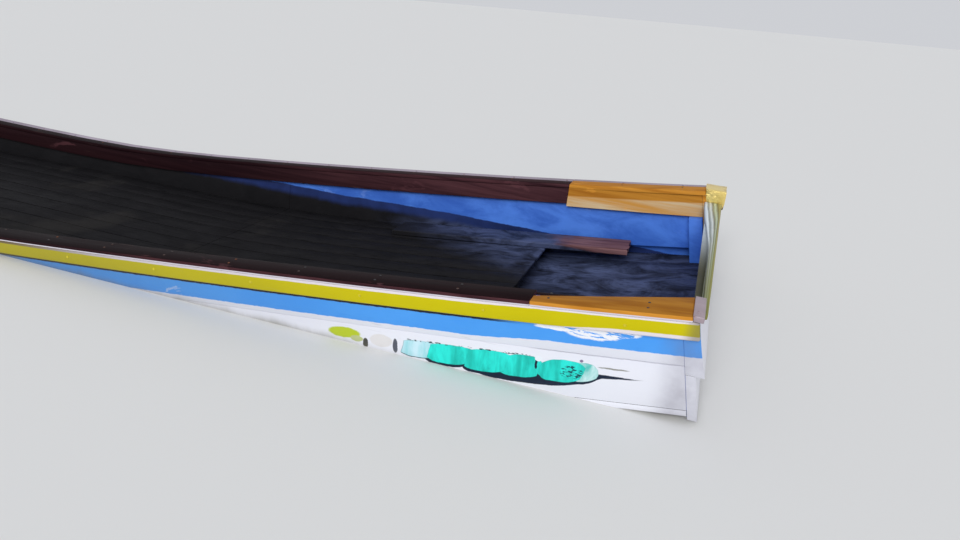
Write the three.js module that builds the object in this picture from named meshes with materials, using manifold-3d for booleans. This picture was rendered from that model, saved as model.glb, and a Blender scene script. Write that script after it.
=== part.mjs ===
// Longtail boat in millimetres: +X is the bow, +Y is port, +Z is up.
// The origin is under the keel runner, where the sheer is lowest.
import * as THREE from "three";
import { mergeVertices } from "three/addons/utils/BufferGeometryUtils.js";
import Module from "manifold-3d";

const wasm = await Module();
wasm.setup();

// Driving dimensions of the hull
const BOW = 3650; // where the curves of the sheer and the bottom end
const STERN = -4750; // aft face of the transom
const STATION_STEP = 352.5;
const RUNNER = 30; // height of the runners under the bottom
const WATER = 255; // height at which the boat floats
const LOW_FREEBOARD = 37;
const SHEER_BEND = 81; // how softly the sheer turns up
const BOW_SHEER_SLOPE = 0.103;
const STERN_SHEER_SLOPE = 0.055;
const BOW_FLICK = 26; // extra lift of the sheer at the very bow
const BOW_ROCKER = { start: 1019, lift: 252, power: 1.65 };
const STERN_ROCKER = { start: -3000, lift: 50, power: 2 };
const HALF_BEAM = 759;
const BOW_NARROWING = 34;
const STERN_NARROWING = 120;
const FLARE = 0.12; // outward lean of the sides for each unit of height
const BOW_LEAN = 0.22; // how far the square end comes forward for each unit down

// Thicknesses and widths of the timber
const GAP = 0.3;
const RUNNING = 0.5; // clearance of a pin in its hole
const BOTTOM = 20;
const STRAKE = 20;
const UPPER_STRAKE = 168;
const CAP = 18;
const CAP_OUT = 22;
const RAIL = { height: 59, thick: 16 };
const LINING = { inset: 52, thick: 14 };
const INWALE = { height: 75, thick: 24 };
const DROP = { seam: 87, fore: 99 }; // depth of the varnished inwale under the cap
const TIMBER = { height: 50, wide: 40, step: 560 };
const SOLE = 15;
const TRANSOM = 40;

// The square end: its lower board sits back from the lip of the upper one
const PLANK_FRONT = 3586; // where the side planks end at the height of the sheer
const END_BOARD = { lower: 28, upper: 44, lip: 8 };
const LIP_HEIGHT = 168; // of the lip above the water
const POST = 60;
const SHOE = { fore: 3690, over: 3, drop: 62, cheek: 4 };
const STRIP = { fore: 3644 };

// The upper board dips between the gunwales' ends and is thinner there; its cap has a curved aft edge
const DIP = { port: 630.3, starboard: -606, rebate: 16 };
const BOW_CAP = { top: 571, port: 625, starboard: -605, fore: { port: 3680, starboard: 3658 } };
const CAP_EDGE = [
  { x: 3607, y: 625 },
  { x: 3614, y: 404 },
  { x: 3630, y: 190 },
  { x: 3641, y: -24 },
  { x: 3639, y: -346 },
  { x: 3636, y: -605 },
];

// The gunwales: how deep the plank's inner edge lies, at the seam and at the end of the varnished piece
const GUNWALES = {
  port: { plank: 92, seam: 92, end: 100, varnished: 610, front: 3600 },
  starboard: { plank: 66, seam: 24, end: 116, varnished: 430, front: 3614 },
};

// The linings, the timbers and the boards of the floor come in three lengths
const BUTT = 1400;
const BOARDS = { aft: STERN + 300, fore: 2950 }; // where the floor boards begin and end

// The motor's frame, tilted in a group of its own
const PIN = new THREE.Vector3(STERN + 150, 0, 775);
const BALANCE = 100; // how far the tilt pin lies forward of the frame's origin
const TAIL_DROP = 6; // degrees that the tail hangs down when parked
const SHAFT = 40; // height of the shaft above the frame's origin
const TAIL_END = -2560;
const TAIL_RADIUS = 30;
const PROPELLER_RADIUS = 150;

const COLOURS = {
  white: 0xe9e8ee,
  yellow: 0xe2cf12,
  blue: 0x3f9be8,
  innerBlue: 0x2f55b4,
  brown: 0x4a2722,
  orange: 0xa7662c,
  gilt: 0xc9a646,
  wetWood: 0x2a221f,
  wood: 0x6a4731,
  grey: 0xa9a7ad,
  iron: 0x3c3d40,
  engine: 0x4f6a5a,
  steel: 0x8c8f93,
  rust: 0x6b3d26,
  bronze: 0xa07a3c,
  red: 0xa8261c,
};

const boat = new THREE.Group();

// Curves of the hull along its length

function smoothSheer(x) {
  const slope = x > 0 ? BOW_SHEER_SLOPE : STERN_SHEER_SLOPE;
  const lift = Math.hypot(SHEER_BEND, slope * x) - SHEER_BEND;
  const flick = x > 0 ? BOW_FLICK * (x / BOW) ** 4 : 0;
  return WATER + LOW_FREEBOARD + lift + flick;
}

function smoothBottom(x) {
  const bow = Math.max(0, (x - BOW_ROCKER.start) / (BOW - BOW_ROCKER.start));
  const stern = Math.max(0, (STERN_ROCKER.start - x) / (STERN_ROCKER.start - STERN));
  const lift = BOW_ROCKER.lift * bow ** BOW_ROCKER.power + STERN_ROCKER.lift * stern ** STERN_ROCKER.power;
  return RUNNER + lift;
}

function smoothHalfBeam(x) {
  return x > 0 ? HALF_BEAM - BOW_NARROWING * (x / BOW) ** 2 : HALF_BEAM - STERN_NARROWING * (x / STERN) ** 2;
}

// Between two stations every line of the hull is straight, so neighbouring planks fit
function faired(curve) {
  return (x) => {
    const step = Math.floor((x - STERN) / STATION_STEP);
    const from = STERN + step * STATION_STEP;
    return THREE.MathUtils.lerp(curve(from), curve(from + STATION_STEP), (x - from) / STATION_STEP);
  };
}

const sheer = faired(smoothSheer);
const bottom = faired(smoothBottom);
const halfBeam = faired(smoothHalfBeam);
const skin = (x, z) => halfBeam(x) - FLARE * (sheer(x) - z);
const underCap = (x) => sheer(x) - CAP - GAP;
const bottomTop = (x) => bottom(x) + BOTTOM;
const timberTop = (x) => bottomTop(x) + GAP + TIMBER.height;
const soleTop = (x) => timberTop(x) + GAP + SOLE;
const strakeSeam = (x) => sheer(x) - UPPER_STRAKE;
const lean = (z) => BOW_LEAN * (sheer(BOW) - z);

// Helpers

function add(name, geometry, colour, group = boat, roughness = 0.6, metalness = 0) {
  const material = new THREE.MeshStandardMaterial({ color: COLOURS[colour], roughness, metalness });
  const mesh = new THREE.Mesh(geometry, material);
  mesh.name = name;
  group.add(mesh);
  return mesh;
}

function closed(geometry) {
  const bare = geometry.clone();
  bare.deleteAttribute("normal");
  bare.deleteAttribute("uv");
  return mergeVertices(bare, 1e-3);
}

function toSolid(geometry) {
  const merged = closed(geometry);
  const vertProperties = new Float32Array(merged.getAttribute("position").array);
  const triVerts = new Uint32Array(merged.getIndex().array);
  return new wasm.Manifold(new wasm.Mesh({ numProp: 3, vertProperties, triVerts }));
}

function fromSolid(solid) {
  const mesh = solid.getMesh();
  const geometry = new THREE.BufferGeometry();
  geometry.setAttribute("position", new THREE.BufferAttribute(new Float32Array(mesh.vertProperties), 3));
  geometry.setIndex(new THREE.BufferAttribute(new Uint32Array(mesh.triVerts), 1));
  geometry.computeVertexNormals();
  return geometry;
}

function join(shapes, holes = []) {
  let solid = toSolid(shapes[0]);
  for (const shape of shapes.slice(1)) solid = solid.add(toSolid(shape));
  for (const hole of holes) solid = solid.subtract(toSolid(hole));
  return fromSolid(solid);
}

// A box between two opposite corners
function block(x0, x1, y0, y1, z0, z1) {
  const box = new THREE.BoxGeometry(x1 - x0, y1 - y0, z1 - z0);
  return box.translate((x0 + x1) / 2, (y0 + y1) / 2, (z0 + z1) / 2);
}

// A round bar along one axis, from one end to the other, around a centre in the two other directions
function bar(axis, from, to, radius, centre, sides = 24, endRadius = radius) {
  const shape = new THREE.CylinderGeometry(endRadius, radius, to - from, sides);
  const middle = (from + to) / 2;
  if (axis === "x") return shape.rotateZ(-Math.PI / 2).translate(middle, centre[0], centre[1]);
  if (axis === "y") return shape.translate(centre[0], middle, centre[1]);
  return shape.rotateX(Math.PI / 2).translate(centre[0], centre[1], middle);
}

// An outline across the boat, drawn in Y and Z, drawn out along X
function alongX(outline, from, to, curveSegments = 6) {
  const shape = new THREE.ExtrudeGeometry(outline, { depth: to - from, bevelEnabled: false, curveSegments });
  return shape.applyMatrix4(new THREE.Matrix4().set(0, 0, 1, from, 1, 0, 0, 0, 0, 1, 0, 0, 0, 0, 0, 1));
}

// A box whose edges along X are round
function softBox(x0, x1, y0, y1, z0, z1, radius) {
  const outline = new THREE.Shape();
  outline.absarc(y1 - radius, z0 + radius, radius, -Math.PI / 2, 0);
  outline.absarc(y1 - radius, z1 - radius, radius, 0, Math.PI / 2);
  outline.absarc(y0 + radius, z1 - radius, radius, Math.PI / 2, Math.PI);
  outline.absarc(y0 + radius, z0 + radius, radius, Math.PI, 1.5 * Math.PI);
  return alongX(outline, x0, x1);
}

// A plate across the boat, its outline drawn in X and Z
function acrossPlate(points, half) {
  const outline = new THREE.Shape(points.map(([x, z]) => new THREE.Vector2(x, z)));
  const plate = new THREE.ExtrudeGeometry(outline, { depth: 2 * half, bevelEnabled: false });
  return plate.rotateX(Math.PI / 2).translate(0, half, 0);
}

// A pipe along points joined by round bends
function pipe(points, radius, sides = 12, steps = 24) {
  const path = new THREE.CatmullRomCurve3(points.map((p) => new THREE.Vector3(...p)), false, "catmullrom", 0.4);
  const section = new THREE.Shape();
  section.absarc(0, 0, radius, 0, 2 * Math.PI);
  return new THREE.ExtrudeGeometry(section, { steps, curveSegments: sides, extrudePath: path });
}

// A corner of a piece; those beside the end boards are moved to the lean of these
function corner(x, across, up, place) {
  let spot = place(x, across, up);
  if (x < PLANK_FRONT - POST - 1) return spot;
  for (let i = 0; i < 5; i++) spot = place(x + lean(spot[2]), across, up);
  return spot;
}

// A piece bent to the hull's stations; place gives the corner for x and for 0 or 1 across and up
function bent(from, to, place) {
  const inner = [];
  for (let x = STERN + STATION_STEP; x < BOW; x += STATION_STEP) {
    if (x > from + 1 && x < to - 1) inner.push(x);
  }
  const stations = [from, ...inner, to];
  const spans = stations.length - 1;
  const geometry = new THREE.BoxGeometry(1, 1, 1, spans, 1, 1);
  const spots = geometry.getAttribute("position");
  for (let i = 0; i < spots.count; i++) {
    const x = stations[Math.round((spots.getX(i) + 0.5) * spans)];
    spots.setXYZ(i, ...corner(x, spots.getY(i) + 0.5, spots.getZ(i) + 0.5, place));
  }
  return closed(geometry);
}

// A plank in the hull's side, by its lower and upper edge and how deep its two faces lie inside the skin
function sidePlank(side, from, to, low, high, outerInset, innerInset) {
  return bent(from, to, (x, across, up) => {
    const z = THREE.MathUtils.lerp(low(x), high(x), up);
    const outward = side > 0 ? across : 1 - across;
    const inner = innerInset instanceof Function ? innerInset(x) : innerInset;
    const inset = THREE.MathUtils.lerp(inner, outerInset, outward);
    return [x, side * (skin(x, z) - inset), z];
  });
}

// A plank that lies across the boat, as wide as the hull's skin less an inset at each side
function crossPlank(from, to, low, high, inset) {
  return bent(from, to, (x, across, up) => {
    const z = THREE.MathUtils.lerp(low(x), high(x), up);
    return [x, THREE.MathUtils.lerp(-1, 1, across) * (skin(x, z) - inset), z];
  });
}

// A straight-sided strip that follows the bottom
function strip(from, to, y0, y1, low, high) {
  return bent(from, to, (x, across, up) => [
    x,
    THREE.MathUtils.lerp(y0, y1, across),
    THREE.MathUtils.lerp(low(x), high(x), up),
  ]);
}

// Hull

const SIDES = [
  { word: "port", side: 1 },
  { word: "starboard", side: -1 },
];

const LENGTHS = [
  { word: "aft", from: STERN + TRANSOM + GAP, to: -BUTT - GAP },
  { word: "middle", from: -BUTT + GAP, to: BUTT - GAP },
  { word: "fore", from: BUTT + GAP, to: PLANK_FRONT - GAP },
];

function addBottom() {
  const from = STERN + TRANSOM;
  add("bottom_planking", crossPlank(from, PLANK_FRONT, bottom, bottomTop, 0), "white");
  const runnerTop = (x) => bottom(x) - GAP;
  const runnerFoot = (x) => bottom(x) - RUNNER;
  const runners = [
    { name: "keel_runner", y: 0, half: 50 },
    { name: "bilge_runner_port", y: 430, half: 30 },
    { name: "bilge_runner_starboard", y: -430, half: 30 },
  ];
  for (const { name, y, half } of runners) {
    add(name, strip(STERN + 1500, 2000, y - half, y + half, runnerFoot, runnerTop), "wood");
  }
}

function addSides() {
  const from = STERN + TRANSOM;
  const lowerFoot = (x) => bottomTop(x) + GAP;
  const lowerTop = (x) => strakeSeam(x) - GAP;
  for (const { word, side } of SIDES) {
    add("lower_strake_" + word, sidePlank(side, from, PLANK_FRONT, lowerFoot, lowerTop, 0, STRAKE), "white");
    add("upper_strake_" + word, sidePlank(side, from, PLANK_FRONT, strakeSeam, underCap, 0, STRAKE), "blue");
    const railFoot = (x) => underCap(x) - RAIL.height;
    const railFront = PLANK_FRONT + END_BOARD.upper;
    const rail = sidePlank(side, STERN, railFront, railFoot, underCap, -GAP - RAIL.thick, -GAP);
    add("rub_rail_" + word, rail, "yellow");
    const liningFoot = (x) => timberTop(x) + GAP;
    const liningInner = LINING.inset + LINING.thick;
    for (const length of LENGTHS) {
      const lining = sidePlank(side, length.from, length.to, liningFoot, underCap, LINING.inset, liningInner);
      add("lining_" + word + "_" + length.word, lining, "innerBlue");
    }
  }
}

function addGunwales() {
  const capFoot = (x) => sheer(x) - CAP;
  const inwaleFoot = (x) => underCap(x) - INWALE.height;
  const outer = LINING.inset + LINING.thick + GAP;
  const inner = outer + INWALE.thick;
  for (const { word, side } of SIDES) {
    const edge = GUNWALES[word];
    const seam = edge.front - edge.varnished;
    const cap = sidePlank(side, STERN, seam - GAP, capFoot, sheer, -CAP_OUT, edge.plank);
    add("gunwale_" + word, cap, "brown");
    const depth = (x) => THREE.MathUtils.lerp(edge.seam, edge.end, (x - seam) / edge.varnished);
    const end = sidePlank(side, seam, edge.front - GAP, capFoot, sheer, -CAP_OUT, depth);
    const front = PLANK_FRONT - GAP;
    const hasDrop = edge.seam > inner;
    const dropDepth = (x) => THREE.MathUtils.mapLinear(x, seam, PLANK_FRONT, DROP.seam, DROP.fore);
    const dropFoot = (x) => underCap(x) - dropDepth(x);
    const drop = sidePlank(side, seam, front, dropFoot, (x) => sheer(x) - 4, outer, inner);
    add("gunwale_end_" + word, join(hasDrop ? [end, drop] : [end]), "orange");
    const inwale = sidePlank(
      side,
      STERN + TRANSOM + GAP,
      hasDrop ? seam - GAP : front,
      inwaleFoot,
      underCap,
      outer,
      inner,
    );
    add("inwale_" + word, inwale, "brown");
  }
}

function addFloor() {
  const timberFoot = (x) => bottomTop(x) + GAP;
  const soleFoot = (x) => timberTop(x) + GAP;
  const soleInset = LINING.inset + LINING.thick + 3;
  for (const { word, from, to } of LENGTHS) {
    const end = Math.min(to, BOARDS.fore);
    const shapes = [strip(from, end, -45, 45, timberFoot, timberTop)];
    const count = Math.round((end - from) / TIMBER.step);
    for (let i = 0; i < count; i++) {
      const x = THREE.MathUtils.lerp(from, end, (i + 0.5) / count);
      shapes.push(crossPlank(x - TIMBER.wide / 2, x + TIMBER.wide / 2, timberFoot, timberTop, STRAKE + GAP));
    }
    add("floor_timbers_" + word, join(shapes), "wetWood");
    const sole = crossPlank(Math.max(from, BOARDS.aft), end, soleFoot, soleTop, soleInset);
    add("sole_" + word, sole, "wetWood");
  }
}

// A plank lying against the port lining: its aft end and the edge of the floor boards carry it
function addLooseBoard() {
  const board = { from: 2150, to: 3330, wide: 160, thick: 22, away: 12 };
  const rise = (soleTop(BOARDS.fore) - soleTop(board.from)) / (BOARDS.fore - board.from);
  const foot = (x) => soleTop(board.from) + GAP + rise * (x - board.from);
  const top = (x) => foot(x) + board.thick;
  const wall = skin(board.to, foot(board.to)) - LINING.inset - LINING.thick - board.away;
  add("loose_board", strip(board.from, board.to, wall - board.wide, wall, foot, top), "wood");
}

function addSeat() {
  const x = STERN + 1400;
  const top = sheer(x) + 20;
  const foot = soleTop(x - 130) + GAP;
  const legs = [-330, 310].map((y) => block(x - 130, x + 130, y, y + 20, foot, top - 20));
  add("driver_seat", join([block(x - 150, x + 150, -360, 360, top - 24, top), ...legs]), "wood");
}

// Bow end

function addBow() {
  const step = WATER + LIP_HEIGHT;
  const back = PLANK_FRONT + GAP;
  const lower = acrossEnd(bottom(PLANK_FRONT), step - GAP, 1, () => [back, back + END_BOARD.lower]);
  add("end_board_lower", lower, "white");
  const top = sheer(PLANK_FRONT) - CAP - GAP;
  const lip = (up) => back + END_BOARD.upper + END_BOARD.lip * (1 - up) ** 2;
  const board = acrossEnd(step, top, 4, (up) => [back, lip(up)]);
  add("end_board_upper", join([board], dipCuts(back, step, top)), "white");
  for (const { word, side } of SIDES) {
    const inset = LINING.inset + LINING.thick + GAP;
    const foot = (x) => bottomTop(x) + GAP;
    const postTop = (x) => underCap(x) - DROP.fore - 1;
    const post = sidePlank(side, PLANK_FRONT - POST, PLANK_FRONT - GAP, foot, postTop, inset, inset + POST);
    add("corner_post_" + word, post, "grey");
  }
  addBowCap();
  addCorner("corner_shoe_port", 1, SHOE.fore, SHOE.over, SHOE.drop, "gilt");
  addCorner("corner_strip_starboard", -1, STRIP.fore, 0, 0, "grey");
}

// What comes off the upper board: the dip for its cap, and the rebate along its inner face
function dipCuts(back, low, high) {
  const dip = block(back - 50, back + 150, DIP.starboard, DIP.port, BOW_CAP.top - CAP - GAP, high + 5);
  const rebate = block(back - 5, back + DIP.rebate, DIP.starboard, DIP.port, low - 5, high + 5);
  const spots = rebate.getAttribute("position");
  for (let i = 0; i < spots.count; i++) spots.setX(i, spots.getX(i) + lean(spots.getZ(i)));
  return [dip, rebate];
}

// The cap of the upper board, wider at the port side
function addBowCap() {
  const aft = new THREE.SplineCurve(CAP_EDGE.map(({ x, y }) => new THREE.Vector2(x, y))).getPoints(12);
  const outline = new THREE.Shape([
    ...aft,
    new THREE.Vector2(BOW_CAP.fore.starboard, BOW_CAP.starboard),
    new THREE.Vector2(BOW_CAP.fore.port, BOW_CAP.port),
  ]);
  const plank = new THREE.ExtrudeGeometry(outline, { depth: CAP, bevelEnabled: false });
  add("bow_cap", closed(plank.translate(0, 0, BOW_CAP.top - CAP)), "grey");
}

// A flat board over the hull's end, whose fore and aft faces may change with its height
function acrossEnd(low, high, steps, faces) {
  const geometry = new THREE.BoxGeometry(1, 1, 1, 1, 1, steps);
  const spots = geometry.getAttribute("position");
  for (let i = 0; i < spots.count; i++) {
    const up = spots.getZ(i) + 0.5;
    const z = THREE.MathUtils.lerp(low, high, up);
    const [aft, fore] = faces(up);
    const x = (spots.getX(i) < 0 ? aft : fore) + lean(z);
    spots.setXYZ(i, x, 2 * spots.getY(i) * skin(x, z), z);
  }
  return closed(geometry);
}

// The end of a gunwale: a metal piece as wide as the plank, which may hang down in front of the end board
function addCorner(name, side, fore, over, drop, colour) {
  const edge = side > 0 ? GUNWALES.port : GUNWALES.starboard;
  const outer = skin(PLANK_FRONT, sheer(PLANK_FRONT)) + CAP_OUT;
  const inner = outer - CAP_OUT - edge.end;
  const foot = sheer(BOW) - CAP;
  const top = sheer(BOW) + over;
  const y0 = side > 0 ? inner : -outer;
  const y1 = side > 0 ? outer : -inner;
  const shapes = [behindLean(block(edge.front, fore, y0, y1, foot, top))];
  const front = PLANK_FRONT + END_BOARD.upper + 2 + lean(foot - drop);
  if (drop > 0) {
    shapes.push(block(front, fore, y0, y1, foot - drop, foot + 1));
    shapes.push(behindLean(block(edge.front, fore, y0, y0 + SHOE.cheek, BOW_CAP.top - CAP, foot + 1)));
  }
  add(name, join(shapes), colour, boat, 0.3, 0.6);
}

// A block whose aft face has the lean of the end boards
function behindLean(box) {
  const spots = box.getAttribute("position");
  const aft = Math.min(...Array.from({ length: spots.count }, (_, i) => spots.getX(i)));
  for (let i = 0; i < spots.count; i++) {
    if (spots.getX(i) < aft + 1) spots.setX(i, aft + lean(spots.getZ(i)));
  }
  return box;
}

// Stern end

const BEAM = { from: STERN + 90, to: STERN + 210, height: 90 };
const SOCKET = { radius: 46, bore: 26, height: 74 };

function addStern() {
  const foot = bottom(STERN + TRANSOM);
  const top = sheer(STERN + TRANSOM) - CAP - GAP;
  const geometry = new THREE.BoxGeometry(1, 1, 1);
  const spots = geometry.getAttribute("position");
  for (let i = 0; i < spots.count; i++) {
    const z = spots.getZ(i) < 0 ? foot : top;
    const x = spots.getX(i) < 0 ? STERN : STERN + TRANSOM - GAP;
    spots.setXYZ(i, x, 2 * spots.getY(i) * skin(x, z), z);
  }
  add("transom", closed(geometry), "white");
  const beamFoot = sheer(BEAM.from) + GAP;
  const half = halfBeam(BEAM.from);
  const beam = block(BEAM.from, BEAM.to, -half, half, beamFoot, beamFoot + BEAM.height);
  add("motor_beam", beam, "wood");
  const base = beamFoot + BEAM.height + GAP;
  const plate = block(PIN.x - 55, PIN.x + 55, -130, 130, base, base + 10);
  const tube = bar("z", base + 5, base + SOCKET.height, SOCKET.radius, [PIN.x, PIN.y]);
  const bore = bar("z", base + 10, base + SOCKET.height + 5, SOCKET.bore, [PIN.x, PIN.y]);
  add("swivel_socket", join([plate, tube], [bore]), "iron", boat, 0.5, 0.7);
  return base;
}

// The yoke turns in the socket and carries the tilt pin between its cheeks

const CHEEK = { inner: 186, outer: 200 };
const PIN_RADIUS = 16;

function addYoke(base) {
  const socketTop = base + SOCKET.height;
  const spindle = bar("z", base + 12, socketTop + 8, SOCKET.bore - RUNNING, [PIN.x, PIN.y]);
  const collar = bar("z", socketTop + RUNNING, socketTop + 16, 60, [PIN.x, PIN.y]);
  const bridge = block(PIN.x - 55, PIN.x + 55, -CHEEK.outer, CHEEK.outer, socketTop + 10, socketTop + 24);
  const cheeks = [-1, 1].map((side) => {
    const y0 = side > 0 ? CHEEK.inner : -CHEEK.outer;
    const plate = block(PIN.x - 55, PIN.x + 55, y0, y0 + CHEEK.outer - CHEEK.inner, socketTop + 12, PIN.z);
    return join([plate, bar("y", y0, y0 + CHEEK.outer - CHEEK.inner, 55, [PIN.x, PIN.z])]);
  });
  const holes = [bar("y", -CHEEK.outer - 5, CHEEK.outer + 5, PIN_RADIUS + RUNNING, [PIN.x, PIN.z])];
  add("swivel_yoke", join([spindle, collar, bridge, ...cheeks], holes), "iron", boat, 0.5, 0.7);
}

// Motor, in a group of its own that hangs at the tilt pin

const motor = new THREE.Group();
motor.rotation.y = THREE.MathUtils.degToRad(-TAIL_DROP);
motor.position.set(-BALANCE, 0, 0).applyEuler(motor.rotation).add(PIN);
boat.add(motor);

const RAILS = { inner: 150, outer: 180, foot: -30, top: 20, aft: -140, fore: 710 };

function addMotorFrame() {
  const shapes = [];
  for (const side of [-1, 1]) {
    const y0 = side > 0 ? RAILS.inner : -RAILS.outer;
    shapes.push(block(RAILS.aft, RAILS.fore, y0, y0 + RAILS.outer - RAILS.inner, RAILS.foot, RAILS.top));
    const pinFrom = side > 0 ? RAILS.inner + 5 : -CHEEK.outer - 12;
    shapes.push(bar("y", pinFrom, pinFrom + CHEEK.outer + 7 - RAILS.inner, PIN_RADIUS, [BALANCE, 0]));
  }
  const underTube = SHAFT - TAIL_RADIUS - GAP;
  shapes.push(block(RAILS.aft, RAILS.aft + 40, -RAILS.outer, RAILS.outer, RAILS.foot, underTube));
  shapes.push(block(RAILS.fore - 30, RAILS.fore, -RAILS.outer, RAILS.outer, RAILS.foot, RAILS.top));
  add("motor_frame", join(shapes), "red", motor, 0.5, 0.4);
}

const CYLINDERS = [250, 345, 440, 535];
const HEAD = { half: 85, foot: 260, top: 330, port: 293 };

function addEngine() {
  const shapes = [softBox(180, 600, -120, 120, -50, 150, 16), block(190, 590, -85, 85, 140, HEAD.foot)];
  for (const x of [240, 540]) {
    for (const side of [-1, 1]) {
      const y0 = side > 0 ? 110 : -178;
      shapes.push(block(x - 25, x + 25, y0, y0 + 68, RAILS.top + GAP, RAILS.top + 18));
    }
  }
  for (const x of CYLINDERS) {
    for (const y of [-62, 62]) shapes.push(bar("z", 150, HEAD.foot, 40, [x, y], 16));
    shapes.push(block(x + 44, x + 51, -127, 127, 45, 140));
  }
  const pan = [[205, -45], [205, -70], [330, -75], [380, -110], [560, -110], [575, -45]];
  shapes.push(acrossPlate(pan, 92), block(195, 590, -104, 104, -54, -46));
  addAttachments(shapes);
  add("engine_block", join(shapes), "engine", motor, 0.5, 0.5);
  addHead();
  const bell = bar("x", 40, 180 - GAP, 60, [0, SHAFT], 32, 125);
  const rim = bar("x", 168, 180 - GAP, 131, [0, SHAFT], 32);
  const neck = bar("x", -60, 45, 55, [0, SHAFT], 32);
  const collar = bar("x", -60, -48, 66, [0, SHAFT], 32);
  const ribs = [-30, 30, 150, 210].map((turn) => {
    const rib = acrossPlate([[30, 50], [175, 50], [175, 122], [60, 64], [30, 60]], 4);
    return rib.rotateX(THREE.MathUtils.degToRad(turn)).translate(0, 0, SHAFT);
  });
  add("bell_housing", join([bell, rim, neck, collar, ...ribs]), "steel", motor, 0.5, 0.6);
}

// Starter, distributor, oil filter and water pump on the crankcase
function addAttachments(shapes) {
  shapes.push(bar("x", 182, 330, 34, [-150, 84]), bar("x", 326, 342, 24, [-150, 84], 16));
  shapes.push(bar("x", 205, 306, 17, [-148, 130], 16));
  shapes.push(bar("z", 120, 214, 22, [572, -132], 16), bar("z", 210, 246, 32, [572, -132], 16, 26));
  shapes.push(bar("y", 115, 176, 37, [345, 92], 24), bar("y", 115, 126, 41, [345, 92], 24));
  shapes.push(bar("x", 582, 640, 36, [-70, 165], 24), bar("x", 636, 652, 20, [-70, 165], 16));
}

function addHead() {
  const shapes = [block(195, 585, -HEAD.half, HEAD.half, HEAD.foot + GAP, HEAD.top)];
  shapes.push(softBox(212, 568, -56, 56, 320, 385, 22), block(204, 576, -64, 64, 325, 338));
  shapes.push(bar("z", 380, 404, 22, [500, 0], 16), bar("x", 580, 628, 20, [40, 300], 16));
  for (const x of CYLINDERS) {
    shapes.push(bar("z", 325, 342, 12, [x, -71], 12), bar("z", 325, 368, 8, [x, -71], 6));
  }
  add("cylinder_head", join(shapes), "steel", motor, 0.4, 0.7);
}

// A manifold on the head: a log with a runner and a flange for each cylinder; side says which face of the head
function manifold(side, away, radius) {
  const face = HEAD.half + GAP;
  const log = side > 0 ? away : -away;
  const shapes = [bar("x", 228, 557, radius, [log, HEAD.port], 16)];
  for (const x of CYLINDERS) {
    const ends = [side * face, log].sort((a, b) => a - b);
    const plate = [side * face, side * (face + 8)].sort((a, b) => a - b);
    shapes.push(bar("y", ...ends, 16, [x, HEAD.port], 16), block(x - 25, x + 25, ...plate, 274, 312));
  }
  return shapes;
}

function addIntake() {
  const centre = [400, -170];
  const shapes = manifold(-1, 138, 22);
  shapes.push(block(365, 435, -205, -120, 285, 322), bar("z", 315, 405, 34, centre));
  shapes.push(bar("z", 300, 352, 24, [400, -212]));
  shapes.push(bar("y", -230, -120, 7, [400, 345], 8));
  shapes.push(bar("z", 400, 448, 104, centre, 32), bar("z", 400, 407, 110, centre, 32));
  shapes.push(bar("z", 440, 449, 110, centre, 32), bar("z", 448, 458, 104, centre, 32, 60));
  shapes.push(bar("z", 457, 480, 10, centre, 6));
  add("intake", join(shapes), "steel", motor, 0.5, 0.6);
}

function addExhaust() {
  const shapes = manifold(1, 130, 21);
  const route = [[245, 130, 296], [245, 132, 350], [235, 150, 410], [180, 163, 440], [60, 165, 445]];
  shapes.push(pipe(route, 21));
  shapes.push(bar("x", -260, 70, 48, [165, 445], 24));
  for (const x of [-260, 60]) shapes.push(bar("x", x, x + 10, 52, [165, 445], 24));
  shapes.push(bar("x", -330, -250, 20, [165, 445], 16));
  add("exhaust", join(shapes), "rust", motor, 0.8, 0.4);
}

// Crank pulley, belt and generator; the belt runs between the rims of the pulleys
function addBeltDrive() {
  const away = [172, 215];
  const shapes = [bar("x", 600 + GAP, 652, 32, [0, SHAFT]), bar("x", 500, 600, 53, away, 24)];
  shapes.push(bar("x", 595, 650, 14, away, 16), bar("x", 605, 613, 47, away, 16));
  for (const [radius, centre] of [[76, [0, SHAFT]], [36, away]]) {
    shapes.push(bar("x", 622, 650, radius, centre, 32));
    for (const x of [621, 646]) shapes.push(bar("x", x, x + 5, radius + 6, centre, 32));
  }
  for (const x of [504, 524, 544, 564, 584]) shapes.push(bar("x", x, x + 9, 57, away, 24));
  shapes.push(block(510, 560, 102 + GAP, 140, 165, 190));
  shapes.push(beltLoop(away, 76, 36));
  add("belt_drive", join(shapes), "iron", motor, 0.6, 0.4);
}

// The belt: a band around the crank pulley and the pulley at away, met by straight runs
function beltLoop(away, crankRadius, awayRadius) {
  const angle = Math.atan2(away[1] - SHAFT, away[0]);
  const distance = Math.hypot(away[0], away[1] - SHAFT);
  const wrap = Math.acos((crankRadius - awayRadius) / distance);
  const outline = (grow) => {
    const path = new THREE.Shape();
    path.absarc(0, SHAFT, crankRadius + grow, angle + wrap, angle - wrap + 2 * Math.PI);
    path.absarc(away[0], away[1], awayRadius + grow, angle - wrap, angle + wrap);
    return path;
  };
  const band = outline(3);
  band.holes.push(outline(-3));
  return alongX(band, 628, 644, 24);
}

function addTank() {
  const shapes = [softBox(20, 170, -150, 150, 210, 330, 30), bar("z", 325, 350, 26, [95, 70])];
  for (const x of [48, 130]) shapes.push(softBox(x, x + 14, -153, 153, 207, 333, 32));
  for (const y of [-178, 150]) shapes.push(block(70, 110, y, y + 28, RAILS.top + GAP, 262));
  shapes.push(bar("z", 188, 212, 9, [95, -90], 12));
  add("fuel_tank", join(shapes), "red", motor, 0.4, 0.3);
}

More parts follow.
